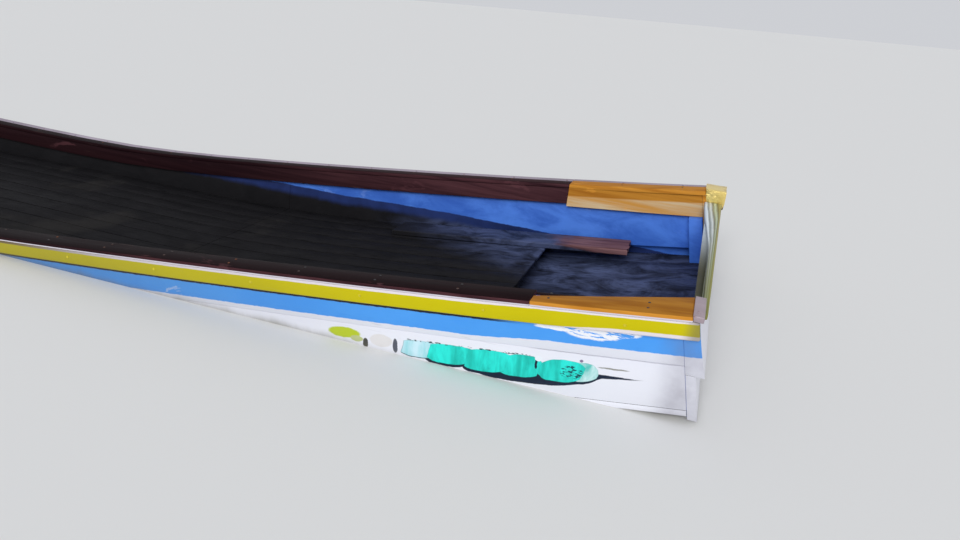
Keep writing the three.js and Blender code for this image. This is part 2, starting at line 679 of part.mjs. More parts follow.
function addTail() {
  const shapes = [
    bar("x", TAIL_END + 50, -60 - GAP, TAIL_RADIUS, [0, SHAFT]),
    bar("x", -76, -60 - GAP, 66, [0, SHAFT], 32),
    bar("x", -98, -70, 42, [0, SHAFT], 24),
    bar("x", TAIL_END, TAIL_END + 70, 38, [0, SHAFT]),
  ];
  for (const x of [-265, -1665]) shapes.push(bar("x", x, x + 34, 37, [0, SHAFT]));
  shapes.push(block(-258, -238, -8, 8, SHAFT + 20, SHAFT + 150));
  shapes.push(pipe([[-248, 0, SHAFT + 142], [-900, 0, SHAFT + 95], [-1650, 0, SHAFT + 28]], 11, 8, 6));
  const fin = [
    [TAIL_END + 60, SHAFT - 25],
    [TAIL_END + 380, SHAFT - 25],
    [TAIL_END + 210, SHAFT - 150],
    [TAIL_END + 110, SHAFT - 160],
  ];
  shapes.push(acrossPlate(fin, 4));
  add("tail_tube", join(shapes), "steel", motor, 0.5, 0.7);
}

function addTiller() {
  const route = [[712, -70, 0], [800, -70, 10], [940, -66, 110], [1300, -50, 190], [1900, -30, 240]];
  const flange = block(RAILS.fore + GAP, RAILS.fore + 10, -100, -40, RAILS.foot, RAILS.top);
  const grip = pipe([[1890, -31, 239], [1970, -27, 246], [2050, -24, 254]], 21, 12, 6);
  add("tiller", join([flange, pipe(route, 15), grip]), "iron", motor, 0.5, 0.5);
}

function addPropeller() {
  const hubFrom = TAIL_END - 118;
  const shapes = [
    bar("x", TAIL_END - 12, TAIL_END - RUNNING, 14, [0, SHAFT]),
    bar("x", hubFrom, TAIL_END - 8, 30, [0, SHAFT], 24),
    bar("x", hubFrom - 40, hubFrom + 2, 8, [0, SHAFT], 24, 30),
  ];
  const blades = 3;
  for (let i = 0; i < blades; i++) {
    const blade = bladeShape();
    blade.rotateX((2 * Math.PI * i) / blades).translate(TAIL_END - 66, 0, SHAFT);
    shapes.push(blade);
  }
  add("propeller", join(shapes), "bronze", motor, 0.35, 0.8);
}

// One blade pointing up, twisted from root to tip, rounded in outline
function bladeShape() {
  const steps = 6;
  const geometry = new THREE.BoxGeometry(1, 1, 1, 1, 4, steps);
  const spots = geometry.getAttribute("position");
  for (let i = 0; i < spots.count; i++) {
    const out = spots.getZ(i) + 0.5;
    const radius = THREE.MathUtils.lerp(22, PROPELLER_RADIUS, out);
    const chord = 46 + 46 * Math.sin(Math.PI * Math.min(1, 0.15 + 0.8 * out)) - 20 * out;
    const twist = Math.atan2(0.16 * PROPELLER_RADIUS * 2, radius);
    const thick = THREE.MathUtils.lerp(12, 4, out);
    const along = spots.getY(i) * chord;
    const through = spots.getX(i) * thick;
    const x = along * Math.sin(twist) + through * Math.cos(twist);
    const y = along * Math.cos(twist) - through * Math.sin(twist);
    spots.setXYZ(i, x, y, radius);
  }
  return closed(geometry);
}

addBottom();
addSides();
addGunwales();
addFloor();
addLooseBoard();
addSeat();
addBow();
addYoke(addStern());
addMotorFrame();
addEngine();
addIntake();
addExhaust();
addBeltDrive();
addTank();
addTail();
addTiller();
addPropeller();

export default boat;
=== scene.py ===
# Longtail boat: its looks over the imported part, in metres. +X is the bow, +Y is port, +Z is up.
import math

import bmesh
import bpy
import mathutils
from mathutils import Matrix, Vector


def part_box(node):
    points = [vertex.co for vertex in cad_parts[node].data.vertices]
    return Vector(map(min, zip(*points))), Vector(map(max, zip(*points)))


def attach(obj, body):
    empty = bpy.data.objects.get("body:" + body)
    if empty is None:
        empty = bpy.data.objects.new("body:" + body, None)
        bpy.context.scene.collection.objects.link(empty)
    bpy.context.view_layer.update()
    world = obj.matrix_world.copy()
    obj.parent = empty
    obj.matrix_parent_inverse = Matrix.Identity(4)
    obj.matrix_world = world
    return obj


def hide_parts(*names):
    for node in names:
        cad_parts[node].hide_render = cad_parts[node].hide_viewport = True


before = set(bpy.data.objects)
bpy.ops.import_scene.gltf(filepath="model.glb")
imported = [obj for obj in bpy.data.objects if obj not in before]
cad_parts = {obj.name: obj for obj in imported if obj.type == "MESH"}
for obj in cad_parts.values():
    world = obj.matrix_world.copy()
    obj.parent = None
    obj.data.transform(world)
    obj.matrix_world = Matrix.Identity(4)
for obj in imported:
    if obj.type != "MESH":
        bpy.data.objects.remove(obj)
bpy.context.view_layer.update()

# Hull lines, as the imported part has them

BOW = 3.65
STERN = -4.75
STATION_STEP = 0.3525
WATER = 0.255
RUNNER = 0.03
LOW_FREEBOARD = 0.037
SHEER_BEND = 0.081
SHEER_SLOPE = {"bow": 0.103, "stern": 0.055}
BOW_FLICK = 0.026
BOW_ROCKER = {"start": 1.019, "lift": 0.252, "power": 1.65}
STERN_ROCKER = {"start": -3.0, "lift": 0.05, "power": 2}
HALF_BEAM = 0.759
NARROWING = {"bow": 0.034, "stern": 0.12}
FLARE = 0.12
SIDES = {"port": 1, "starboard": -1}
LENGTHS = ("aft", "middle", "fore")
UP = (0, 0, 1)


def end_of(x):
    return "bow" if x > 0 else "stern"


def smooth_sheer(x):
    lift = math.hypot(SHEER_BEND, SHEER_SLOPE[end_of(x)] * x) - SHEER_BEND
    flick = BOW_FLICK * max(0, x / BOW) ** 4
    return WATER + LOW_FREEBOARD + lift + flick


def smooth_bottom(x):
    bow = max(0, (x - BOW_ROCKER["start"]) / (BOW - BOW_ROCKER["start"]))
    stern = max(0, (STERN_ROCKER["start"] - x) / (STERN_ROCKER["start"] - STERN))
    return (
        RUNNER
        + BOW_ROCKER["lift"] * bow ** BOW_ROCKER["power"]
        + STERN_ROCKER["lift"] * stern ** STERN_ROCKER["power"]
    )


def smooth_half_beam(x):
    length = BOW if x > 0 else STERN
    return HALF_BEAM - NARROWING[end_of(x)] * (x / length) ** 2


def faired(curve):
    """The curve with straight lines between the stations."""

    def line(x):
        start = STERN + math.floor((x - STERN) / STATION_STEP) * STATION_STEP
        part = (x - start) / STATION_STEP
        return (1 - part) * curve(start) + part * curve(start + STATION_STEP)

    return line


sheer = faired(smooth_sheer)
bottom = faired(smooth_bottom)
half_beam = faired(smooth_half_beam)


def skin(x, z):
    return half_beam(x) - FLARE * (sheer(x) - z)


# Mesh helpers

MERGED = 1e-5
FLAT = math.radians(0.03)
SHARP = math.radians(30)
SMOOTH = math.radians(35)
FACING = 0.9


def rows(keys, *lines):
    """Rows of named values: the names once, then a line for each row."""
    return [dict(zip(keys.split(), line)) for line in lines]


def mesh_of(name, bm):
    mesh = bpy.data.meshes.new(name)
    bm.to_mesh(mesh)
    bm.free()
    return mesh


def in_scene(name, data):
    thing = bpy.data.objects.new(name, data)
    bpy.context.scene.collection.objects.link(thing)
    return thing


def copy_of(node, others=()):
    """The node's mesh with its loose triangles joined and its flat faces whole.

    Others are rows of a material, a direction and a distance: faces that look that way, and lie that far
    out or further, get the material's slot.
    """
    bm = bmesh.new()
    bm.from_mesh(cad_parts[node].data)
    bmesh.ops.remove_doubles(bm, verts=bm.verts, dist=MERGED)
    bmesh.ops.dissolve_limit(bm, angle_limit=FLAT, verts=bm.verts, edges=bm.edges)
    for index, (_, direction, beyond) in enumerate(others):
        way = Vector(direction)
        for face in bm.faces:
            if face.normal.dot(way) > FACING and face.calc_center_median().dot(way) > beyond:
                face.material_index = index + 1
    return bm


def round_edges(bm, width, segments=2):
    edges = [e for e in bm.edges if len(e.link_faces) == 2 and e.calc_face_angle(0) > SHARP]
    way = {"profile": 0.5, "affect": "EDGES", "material": -1, "clamp_overlap": True}
    bmesh.ops.bevel(bm, geom=edges, offset=width, segments=segments, **way)


def lay_map(bm):
    """A UV map of places on the hull: how far below the sheer, and how far inside the hull's side."""
    layer = bm.loops.layers.uv.new("hull")
    for face in bm.faces:
        for loop in face.loops:
            x, y, z = loop.vert.co
            loop[layer].uv = (sheer(x) - z, half_beam(x) - abs(y))


def finish_piece(name, bm, material, body="hull", replaced=(), others=()):
    """Makes the mesh a piece that rides on a body; others are its further materials, as copy_of has them."""
    bmesh.ops.recalc_face_normals(bm, faces=bm.faces)
    mesh = mesh_of(name, bm)
    for each in (material, *(row[0] for row in others)):
        mesh.materials.append(each)
    mesh.shade_smooth()
    mesh.set_sharp_from_angle(angle=SMOOTH)
    piece = in_scene(name, mesh)
    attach(piece, body)
    if replaced:
        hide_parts(*replaced)
    return piece


def finish_node(node, bm, material, slot, width, body="hull", segments=2, others=()):
    """The piece that stands for a node, with its edges rounded and a name of its own."""
    round_edges(bm, width, segments)
    lay_map(bm)
    name = node.replace("_", "-") if "_" in node else node + "-piece"
    return finish_piece(name, bm, material, body, [node], others=others)


def soften(node, material, slot, width, others=(), **more):
    """The node's own shape with rounded edges."""
    return finish_node(node, copy_of(node, others), material, slot, width, others=others, **more)


def cut_across(bm, place_at, normal, keep="both"):
    """Cuts the mesh at a plane; with keep "inner" the far side of it goes and the cut is closed."""
    geometry = bm.verts[:] + bm.edges[:] + bm.faces[:]
    clear = keep == "inner"
    cut = bmesh.ops.bisect_plane(bm, geom=geometry, plane_co=place_at, plane_no=normal, clear_outer=clear)
    if clear:
        edges = [part for part in cut["geom_cut"] if isinstance(part, bmesh.types.BMEdge)]
        bmesh.ops.holes_fill(bm, edges=edges, sides=0)


def sawn(node, wide, gap, others=()):
    """The node's shape sawn lengthwise into boards with a gap between them."""
    joined = bmesh.new()
    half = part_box(node)[1].y
    count = 2 * math.ceil(half / wide)
    for row in range(count):
        low = (row - count / 2) * wide
        board = copy_of(node, others)
        cut_across(board, (0, low + gap / 2, 0), (0, -1, 0), "inner")
        cut_across(board, (0, low + wide - gap / 2, 0), (0, 1, 0), "inner")
        mesh = mesh_of("board", board)
        joined.from_mesh(mesh)
        bpy.data.meshes.remove(mesh)
    return joined


# Node helpers


def link(tree, value, socket):
    if isinstance(value, bpy.types.NodeSocket):
        tree.links.new(value, socket)
    elif isinstance(value, tuple) and len(value) == 3 and socket.type == "RGBA":
        socket.default_value = (*value, 1)
    else:
        socket.default_value = value


def sum_up(tree, operation, *values, clamp=False):
    node = tree.nodes.new("ShaderNodeMath")
    node.operation = operation
    node.use_clamp = clamp
    for value, socket in zip(values, node.inputs):
        link(tree, value, socket)
    return node.outputs[0]


def times(tree, first, second):
    return sum_up(tree, "MULTIPLY", first, second)


def minus(tree, first, second):
    return sum_up(tree, "SUBTRACT", first, second)


def scaled(tree, value, factor, added):
    return sum_up(tree, "MULTIPLY_ADD", value, factor, added)


def mixed(tree, factor, first, second):
    node = tree.nodes.new("ShaderNodeMix")
    node.data_type = "RGBA"
    link(tree, factor, node.inputs["Factor"])
    link(tree, first, node.inputs[6])
    link(tree, second, node.inputs[7])
    return node.outputs[2]


def step(tree, value, low, high, start=0.0, end=1.0):
    node = tree.nodes.new("ShaderNodeMapRange")
    node.interpolation_type = "SMOOTHSTEP"
    for socket, setting in zip(node.inputs[:5], (value, low, high, start, end)):
        link(tree, setting, socket)
    return node.outputs[0]


def band(tree, value, low, high, soft=0.0012):
    """One between low and high, nought outside."""
    rise = step(tree, value, low - soft, low + soft)
    fall = step(tree, value, high - soft, high + soft, 1.0, 0.0)
    return times(tree, rise, fall)


def noise(tree, vector, scale, detail=4.0, roughness=0.55, distortion=0.0):
    node = tree.nodes.new("ShaderNodeTexNoise")
    settings = {"Vector": vector, "Scale": scale, "Detail": detail}
    settings.update({"Roughness": roughness, "Distortion": distortion})
    for label, value in settings.items():
        link(tree, value, node.inputs[label])
    return node.outputs[0]


def wander(tree, vector, scale):
    """Small ups and downs about nought."""
    return minus(tree, noise(tree, vector, scale, 3), 0.5)


def stretched(tree, vector, scale):
    node = tree.nodes.new("ShaderNodeMapping")
    link(tree, vector, node.inputs["Vector"])
    node.inputs["Scale"].default_value = scale
    return node.outputs[0]


def split(tree, vector):
    node = tree.nodes.new("ShaderNodeSeparateXYZ")
    link(tree, vector, node.inputs[0])
    return node.outputs


def own_map(tree, name):
    node = tree.nodes.new("ShaderNodeUVMap")
    node.uv_map = name
    return split(tree, node.outputs[0])


def raised(tree, height, strength, distance):
    node = tree.nodes.new("ShaderNodeBump")
    node.inputs["Strength"].default_value = strength
    node.inputs["Distance"].default_value = distance
    link(tree, height, node.inputs["Height"])
    return node.outputs[0]


def new_group(name, inputs, outputs):
    """A node group. Its sockets hold a number each, apart from those called Vector and Colour."""
    tree = bpy.data.node_groups.new(name, "ShaderNodeTree")
    for labels, way in ((inputs, "INPUT"), (outputs, "OUTPUT")):
        for label in labels:
            kind = {"Vector": "Vector", "Colour": "Color"}.get(label, "Float")
            tree.interface.new_socket(label, in_out=way, socket_type="NodeSocket" + kind)
    return tree, tree.nodes.new("NodeGroupInput").outputs, tree.nodes.new("NodeGroupOutput").inputs


def place(tree, group, **values):
    node = tree.nodes.new("ShaderNodeGroup")
    node.node_tree = group
    for label, value in values.items():
        link(tree, value, node.inputs[label.replace("_", " ")])
    return node.outputs


# Effects that several materials share


def build_grain():
    """Wood grain along X: long fibres with darker rings and fine pores."""
    tree, given, result = new_group("wood grain", ["Vector", "Across"], ["Fibres", "Pores"])
    scale = tree.nodes.new("ShaderNodeCombineXYZ")
    scale.inputs[0].default_value = 1.2
    for socket in scale.inputs[1:]:
        tree.links.new(given["Across"], socket)
    along = tree.nodes.new("ShaderNodeVectorMath")
    along.operation = "MULTIPLY"
    tree.links.new(given["Vector"], along.inputs[0])
    tree.links.new(scale.outputs[0], along.inputs[1])
    fibres = noise(tree, along.outputs[0], 1.0, 6, 0.62, 1.6)
    rings = noise(tree, along.outputs[0], 0.35, 2, 0.5, 3.0)
    link(tree, scaled(tree, rings, 0.5, times(tree, fibres, 0.5)), result["Fibres"])
    pores = noise(tree, along.outputs[0], 4.0, 2, 0.5)
    link(tree, step(tree, pores, 0.32, 0.44, 1.0, 0.0), result["Pores"])
    return tree


def build_scuffs():
    """Worn patches and thin scratches along the hull, as masks."""
    tree, given, result = new_group("scuffs", ["Vector", "Amount"], ["Patches", "Scratches"])
    coarse = noise(tree, stretched(tree, given["Vector"], (1.0, 2.2, 2.6)), 5.0, 6, 0.65, 0.6)
    limit = minus(tree, 0.78, times(tree, given["Amount"], 0.3))
    over = minus(tree, coarse, limit)
    link(tree, step(tree, over, 0.0, 0.05), result["Patches"])
    lines = noise(tree, stretched(tree, given["Vector"], (2.0, 90.0, 90.0)), 1.0, 3, 0.6, 0.3)
    broken = noise(tree, given["Vector"], 9.0, 3)
    scratch = times(tree, step(tree, lines, 0.66, 0.74), step(tree, broken, 0.45, 0.6))
    link(tree, sum_up(tree, "MULTIPLY", scratch, given["Amount"], clamp=True), result["Scratches"])
    return tree


def build_grime():
    """Dirt or wet that gathers low down: Height is where it ends, Ragged how far its edge wanders."""
    tree, given, result = new_group("grime", ["Vector", "Height", "Depth", "Ragged"], ["Mask"])
    height = split(tree, given["Vector"])[2]
    ragged = noise(tree, stretched(tree, given["Vector"], (1.0, 1.0, 0.4)), 7.0, 5, 0.6)
    edge = times(tree, minus(tree, ragged, 0.5), given["Ragged"])
    line = sum_up(tree, "ADD", edge, given["Height"])
    under = sum_up(tree, "DIVIDE", minus(tree, line, height), given["Depth"])
    link(tree, step(tree, under, 0.0, 1.0), result["Mask"])
    return tree


def build_oval():
    """A soft-edged oval on the hull's map."""
    labels = ["Along", "Down", "Centre Along", "Centre Down", "Half Length", "Half Height"]
    tree, given, result = new_group("oval", labels, ["Mask"])
    squares = []
    for value, centre, half in (labels[0::2], labels[1::2]):
        away = sum_up(tree, "DIVIDE", minus(tree, given[value], given[centre]), given[half])
        squares.append(times(tree, away, away))
    link(tree, step(tree, sum_up(tree, "ADD", *squares), 0.75, 1.15, 1.0, 0.0), result["Mask"])
    return tree


def build_leaf():
    """A painted leaf that hangs between two heights: a flat arch above, a round foot, sides that lean aft."""
    labels = ["Along", "Down", "Start", "End", "Top", "Foot", "Arch", "Round"]
    tree, given, result = new_group("leaf", labels, ["Mask"])
    below_top = minus(tree, given["Down"], given["Top"])
    tall = minus(tree, given["Foot"], given["Top"])
    upright = scaled(tree, below_top, 0.25, given["Along"])
    middle = times(tree, sum_up(tree, "ADD", given["Start"], given["End"]), 0.5)
    half = times(tree, minus(tree, given["End"], given["Start"]), 0.5)
    away = sum_up(tree, "ABSOLUTE", minus(tree, upright, middle))
    part = sum_up(tree, "DIVIDE", away, half)
    curve = times(tree, sum_up(tree, "POWER", part, 3.0), tall)
    from_top = minus(tree, below_top, times(tree, curve, given["Arch"]))
    rise = times(tree, curve, given["Round"])
    from_foot = minus(tree, minus(tree, tall, rise), below_top)
    from_side = minus(tree, half, away)
    inside = sum_up(tree, "MINIMUM", sum_up(tree, "MINIMUM", from_top, from_foot), from_side)
    link(tree, step(tree, inside, 0.0, 0.0022), result["Mask"])
    return tree


CONTRAST = (0.3, 0.7)
MUDDY = (-3.0, -1.1)
# Where the painted reflection of the blue lining shows: a slanted line across and along the boat.
BLUE_REFLECTION = {"slant": 1.5, "start": 2.9, "end": 3.5}


def build_soaking():
    """Soaked colour under the tide mark: black amidships, muddy aft, and at the bow's port side a dull blue
    painted reflection of the blue lining.
    """
    tree, given, result = new_group("soaking", ["Vector"], ["Colour"])
    along, across, _ = split(tree, given["Vector"])
    cloud = noise(tree, stretched(tree, given["Vector"], (1.0, 1.6, 1.6)), 5.0, 6, 0.65, 0.8)
    black = mixed(tree, cloud, (0.006, 0.006, 0.007), (0.020, 0.019, 0.021))
    muddy = mixed(tree, step(tree, cloud, *CONTRAST), (0.024, 0.017, 0.012), (0.105, 0.074, 0.052))
    aft = mixed(tree, step(tree, along, *MUDDY), muddy, black)
    # Painted reflection of the blue lining, as standing water would show it, on the port side towards the bow.
    fore = mixed(tree, step(tree, cloud, 0.32, 0.66), (0.012, 0.014, 0.026), (0.076, 0.098, 0.195))
    reflection_mask = step(tree, scaled(tree, across, BLUE_REFLECTION["slant"], along), BLUE_REFLECTION["start"], BLUE_REFLECTION["end"])
    link(tree, mixed(tree, reflection_mask, aft, fore), result["Colour"])
    return tree


GRAIN = build_grain()
SCUFFS = build_scuffs()
GRIME = build_grime()
OVAL = build_oval()
LEAF = build_leaf()
SOAKING = build_soaking()


def new_material(name, roughness, metallic=0.0, coat=0.0, specular=0.5):
    material = bpy.data.materials.new(name)
    material.use_nodes = True
    tree = material.node_tree
    shader = tree.nodes["Principled BSDF"]
    shader.inputs["Roughness"].default_value = roughness
    shader.inputs["Metallic"].default_value = metallic
    shader.inputs["Coat Weight"].default_value = coat
    shader.inputs["Coat Roughness"].default_value = 0.1
    shader.inputs["Specular IOR Level"].default_value = specular
    return material, tree, shader, tree.nodes.new("ShaderNodeTexCoord").outputs["Object"]


def finish_shader(tree, shader, colour, height, strength, roughness=None, distance=0.001):
    """Joins what varies over the surface to the shader: its colour, its roughness and its relief."""
    link(tree, colour, shader.inputs["Base Color"])
    if roughness is not None:
        link(tree, roughness, shader.inputs["Roughness"])
    link(tree, raised(tree, height, strength, distance), shader.inputs["Normal"])


def fibres_of(tree, spot, across):
    return place(tree, GRAIN, Vector=spot, Across=across)["Fibres"]


def from_aft(tree, along, edge, under=0.0):
    """How high, deep or strong something is that changes on the way from aft to fore."""
    return step(tree, along, edge["start"], edge["end"], edge["aft"] - under, edge["fore"] - under)


def dulled(colour, part):
    return tuple(part * channel for channel in colour)


# Paint of the sides: along is measured from midships, down from the sheer

BLUE_FOOT = {"start": 3.0, "end": 3.25, "aft": 0.150, "fore": 0.137}
RAIL_FOOT = {"start": 3.2, "end": 3.45, "aft": 0.0777, "fore": 0.0630}
RAIL_TOP = {"start": 3.0, "end": 3.2, "aft": 0.029, "fore": 0.026}
RAIL_SHADOW_LINE = (0.080, 0.0905)
THIN_LINE = (0.1675, 0.1705)
SMUDGED = (0.1945, 0.2005)
SCRATCHED = (0.35, 0.34, 0.36)
TEAL = ((0.004, 0.46, 0.38), (0.022, 0.84, 0.72))
PALE_TEAL = ((0.30, 0.68, 0.74), (0.62, 0.84, 0.92))
MILKY = ((0.04, 0.50, 0.44), (0.70, 0.88, 0.90))
NAVY = (0.004, 0.012, 0.035)
LEAVES = rows(
    "start end top foot arch round rim paint",
    (2.960, 3.415, 0.225, 0.301, 0.10, 0.70, 0.000, None),
    (2.790, 2.915, 0.196, 0.262, 0.10, 0.20, 0.003, PALE_TEAL),
    (3.300, 3.410, 0.198, 0.268, 0.50, 0.30, 0.010, MILKY),
    (2.880, 3.022, 0.196, 0.271, 0.10, 0.20, 0.011, TEAL),
    (3.120, 3.240, 0.197, 0.281, 0.25, 0.15, 0.010, TEAL),
    (3.008, 3.138, 0.196, 0.280, 0.10, 0.15, 0.011, TEAL),
    (3.238, 3.368, 0.196, 0.279, 0.25, 0.25, 0.010, TEAL),
)
SPOTS = rows(
    "along down long high colour",
    (2.576, 0.2040, 0.060, 0.021, (0.48, 0.58, 0.02)),
    (2.620, 0.2220, 0.024, 0.012, (0.50, 0.55, 0.25)),
    (2.652, 0.2340, 0.010, 0.019, (0.06, 0.06, 0.05)),
    (2.708, 0.2170, 0.040, 0.025, (0.74, 0.72, 0.72)),
    (2.758, 0.2290, 0.009, 0.028, (0.09, 0.10, 0.13)),
    (3.347, 0.1930, 0.005, 0.005, (0.22, 0.17, 0.28)),
    (3.440, 0.2075, 0.045, 0.003, (0.30, 0.30, 0.28)),
    (3.216, 0.2240, 0.004, 0.020, NAVY),
    (3.222, 0.2040, 0.011, 0.010, (0.80, 0.84, 0.90)),
)
SPIKE = {"start": 3.370, "end": 3.525, "down": 0.241, "rise": 0.006, "half": 0.0105}
FLECKED = {"along": 3.322, "down": 0.238, "long": 0.034, "high": 0.024}
SPLASHES = rows(
    "along down long high",
    (3.275, 0.088, 0.075, 0.010),
    (3.370, 0.095, 0.080, 0.022),
    (3.440, 0.085, 0.060, 0.015),
)


def oval_mask(tree, along, down, row):
    centre = {"Centre_Along": row["along"], "Centre_Down": row["down"]}
    half = {"Half_Length": row["long"], "Half_Height": row["high"]}
    return place(tree, OVAL, Along=along, Down=down, **centre, **half)["Mask"]


def leaf_mask(tree, along, down, row, grow=0.0):
    sides = {"Start": row["start"] - grow / 4, "End": row["end"] + grow / 4}
    rest = {"Top": row["top"], "Foot": row["foot"] + grow, "Arch": row["arch"], "Round": row["round"]}
    return place(tree, LEAF, Along=along, Down=down, **sides, **rest)["Mask"]


def paint_leaves(tree, spot, along, down, colour):
    """A row of hanging leaves with a dark edge below, running out in a spike forward and small spots aft."""
    part = sum_up(tree, "DIVIDE", minus(tree, along, SPIKE["start"]), SPIKE["end"] - SPIKE["start"])
    half = scaled(tree, part, -SPIKE["half"], SPIKE["half"])
    centre = scaled(tree, part, -SPIKE["rise"], SPIKE["down"])
    over = minus(tree, sum_up(tree, "ABSOLUTE", minus(tree, down, centre)), half)
    spike = times(tree, step(tree, over, -0.002, 0.001, 1.0, 0.0), step(tree, part, -0.05, 0.05))
    colour = mixed(tree, spike, colour, NAVY)
    for row in LEAVES:
        colour = mixed(tree, leaf_mask(tree, along, down, row, row["rim"]), colour, NAVY)
    strokes = noise(tree, stretched(tree, spot, (26.0, 26.0, 5.0)), 1.0, 5, 0.6, 0.5)
    for row in LEAVES[1:]:
        edge = leaf_mask(tree, along, down, row, 0.0015)
        paint = mixed(tree, step(tree, strokes, *CONTRAST), *row["paint"])
        colour = mixed(tree, times(tree, edge, 0.45), colour, (0.0, 0.20, 0.17))
        colour = mixed(tree, leaf_mask(tree, along, down, row), colour, paint)
    for row in SPOTS:
        colour = mixed(tree, oval_mask(tree, along, down, row), colour, row["colour"])
    flecks = step(tree, noise(tree, stretched(tree, spot, (1.0, 1.0, 2.0)), 60.0, 3, 0.6), 0.50, 0.57)
    shade = oval_mask(tree, along, down, FLECKED)
    colour = mixed(tree, times(tree, flecks, shade), colour, (0.004, 0.07, 0.09))
    smudge = times(tree, band(tree, down, *SMUDGED), band(tree, along, 2.80, 3.20, 0.03))
    return mixed(tree, times(tree, smudge, flecks), colour, (0.03, 0.06, 0.07))


# How strongly painted shade darkens the side and rail paint, from aft to fore.
AFT_SHADE = {"start": 1.3, "end": 3.0, "aft": 0.38, "fore": 0.0}


def painted_aft_shade(tree, along, colour):
    """Painted shade: the colour is darkened away from the bow, most towards the stern."""
    return mixed(tree, from_aft(tree, along, AFT_SHADE), colour, (0.08, 0.07, 0.06))


def side_paint():
    """White sides with a blue band under the rail, worn through at the bow, a thin painted shadow line under the
    rail, and a row of painted leaves.
    """
    material, tree, shader, spot = new_material("side paint", 0.4, specular=0.3)
    along = split(tree, spot)[0]
    shake = wander(tree, spot, 45.0)
    down = scaled(tree, shake, 0.006, own_map(tree, "hull")[0])
    swayed = scaled(tree, shake, -0.009, along)
    scuffs = place(tree, SCUFFS, Vector=spot, Amount=0.5)
    white = mixed(tree, noise(tree, spot, 3.0, 5), (0.74, 0.75, 0.83), (0.86, 0.87, 0.92))
    lilac = times(tree, step(tree, down, 0.17, 0.21, 0.1, 0.0), noise(tree, spot, 6.0, 3))
    white = mixed(tree, lilac, white, (0.62, 0.60, 0.86))
    colour = paint_leaves(tree, spot, swayed, down, white)
    thin_line = times(tree, band(tree, down, *THIN_LINE), band(tree, along, 3.2, 3.62, 0.03))
    colour = mixed(tree, times(tree, thin_line, 0.5), colour, (0.3, 0.3, 0.36))
    blue = mixed(tree, noise(tree, spot, 5.0, 4), (0.045, 0.29, 0.84), (0.09, 0.39, 0.94))
    below = minus(tree, down, from_aft(tree, along, BLUE_FOOT))
    stripe = step(tree, below, -0.001, 0.001, 1.0, 0.0)
    brushed = noise(tree, stretched(tree, spot, (1.0, 3.0, 7.0)), 16.0, 5, 0.7, 0.6)
    worn = times(tree, scuffs["Patches"], 0.35)
    shifted = scaled(tree, brushed, 0.02, minus(tree, down, 0.01))
    strokes = step(tree, brushed, 0.41, 0.46)
    for row in SPLASHES:
        worn = sum_up(tree, "MAXIMUM", worn, times(tree, oval_mask(tree, along, shifted, row), strokes))
    colour = mixed(tree, stripe, colour, mixed(tree, worn, blue, (0.88, 0.89, 0.93)))
    # Painted shadow: a thin black line just under the rail, fading out towards the bow.
    black = times(tree, band(tree, down, *RAIL_SHADOW_LINE), step(tree, along, 3.05, 3.18, 1.0, 0.0))
    colour = mixed(tree, black, colour, (0.012, 0.012, 0.02))
    colour = mixed(tree, times(tree, scuffs["Scratches"], 0.6), colour, SCRATCHED)
    stain = place(tree, GRIME, Vector=spot, Height=WATER + 0.03, Depth=0.05, Ragged=0.05)["Mask"]
    stain = times(tree, stain, step(tree, along, 2.4, 3.0, 0.75, 0.0))
    colour = mixed(tree, stain, colour, (0.20, 0.19, 0.13))
    # The white turns greyer and darker in blotches towards the bow end.
    greyed_bow_end = times(tree, step(tree, swayed, 3.53, 3.62, 0.0, 0.65), noise(tree, spot, 14.0, 4))
    colour = mixed(tree, greyed_bow_end, colour, (0.16, 0.14, 0.19))
    roughness = scaled(tree, worn, 0.3, 0.38)
    # The colour gets painted shade towards the stern before it reaches the shader.
    finish_shader(tree, shader, painted_aft_shade(tree, along, colour), fibres_of(tree, spot, 30.0), 0.25, roughness)
    return material


def rail_paint():
    """Yellow rail, white along its top edge and where it is rubbed under its foot at the bow."""
    material, tree, shader, spot = new_material("rail paint", 0.42, specular=0.1)
    along = split(tree, spot)[0]
    shake = wander(tree, spot, 30.0)
    down = scaled(tree, shake, 0.003, own_map(tree, "hull")[0])
    scuffs = place(tree, SCUFFS, Vector=spot, Amount=0.45)
    colour = mixed(tree, noise(tree, spot, 4.0, 5), (0.53, 0.455, 0.003), (0.66, 0.58, 0.003))
    colour = mixed(tree, times(tree, scuffs["Scratches"], 0.5), colour, (0.45, 0.42, 0.2))
    white = mixed(tree, step(tree, along, 1.1, 1.8), (0.22, 0.16, 0.06), (0.80, 0.74, 0.77))
    rubbed = step(tree, minus(tree, down, from_aft(tree, along, RAIL_FOOT)), -0.001, 0.001)
    colour = mixed(tree, rubbed, colour, white)
    lifted = step(tree, minus(tree, down, from_aft(tree, along, RAIL_TOP)), -0.0008, 0.0008, 1.0, 0.0)
    colour = mixed(tree, lifted, colour, white)
    # Painted shade: the rail darkens over its last few centimetres at the bow.
    colour = mixed(tree, step(tree, along, 3.59, 3.635, 0.0, 0.6), colour, (0.15, 0.13, 0.07))
    roughness = scaled(tree, scuffs["Patches"], 0.2, 0.4)
    # The colour gets painted shade towards the stern before it reaches the shader.
    finish_shader(tree, shader, painted_aft_shade(tree, along, colour), fibres_of(tree, spot, 30.0), 0.3, roughness)
    return material


def flat_paint(name, light, dark, wear, worn_colour, roughness=0.35, coat=0.3):
    """One colour of paint over wood, with the grain showing through and worn patches."""
    material, tree, shader, spot = new_material(name, roughness, coat=coat)
    scuffs = place(tree, SCUFFS, Vector=spot, Amount=wear)
    colour = mixed(tree, noise(tree, spot, 4.0, 5), dark, light)
    worn = sum_up(tree, "MAXIMUM", scuffs["Patches"], scuffs["Scratches"])
    colour = mixed(tree, worn, colour, worn_colour)
    roughness = scaled(tree, worn, 0.35, roughness)
    finish_shader(tree, shader, colour, fibres_of(tree, spot, 30.0), 0.3, roughness)
    return material


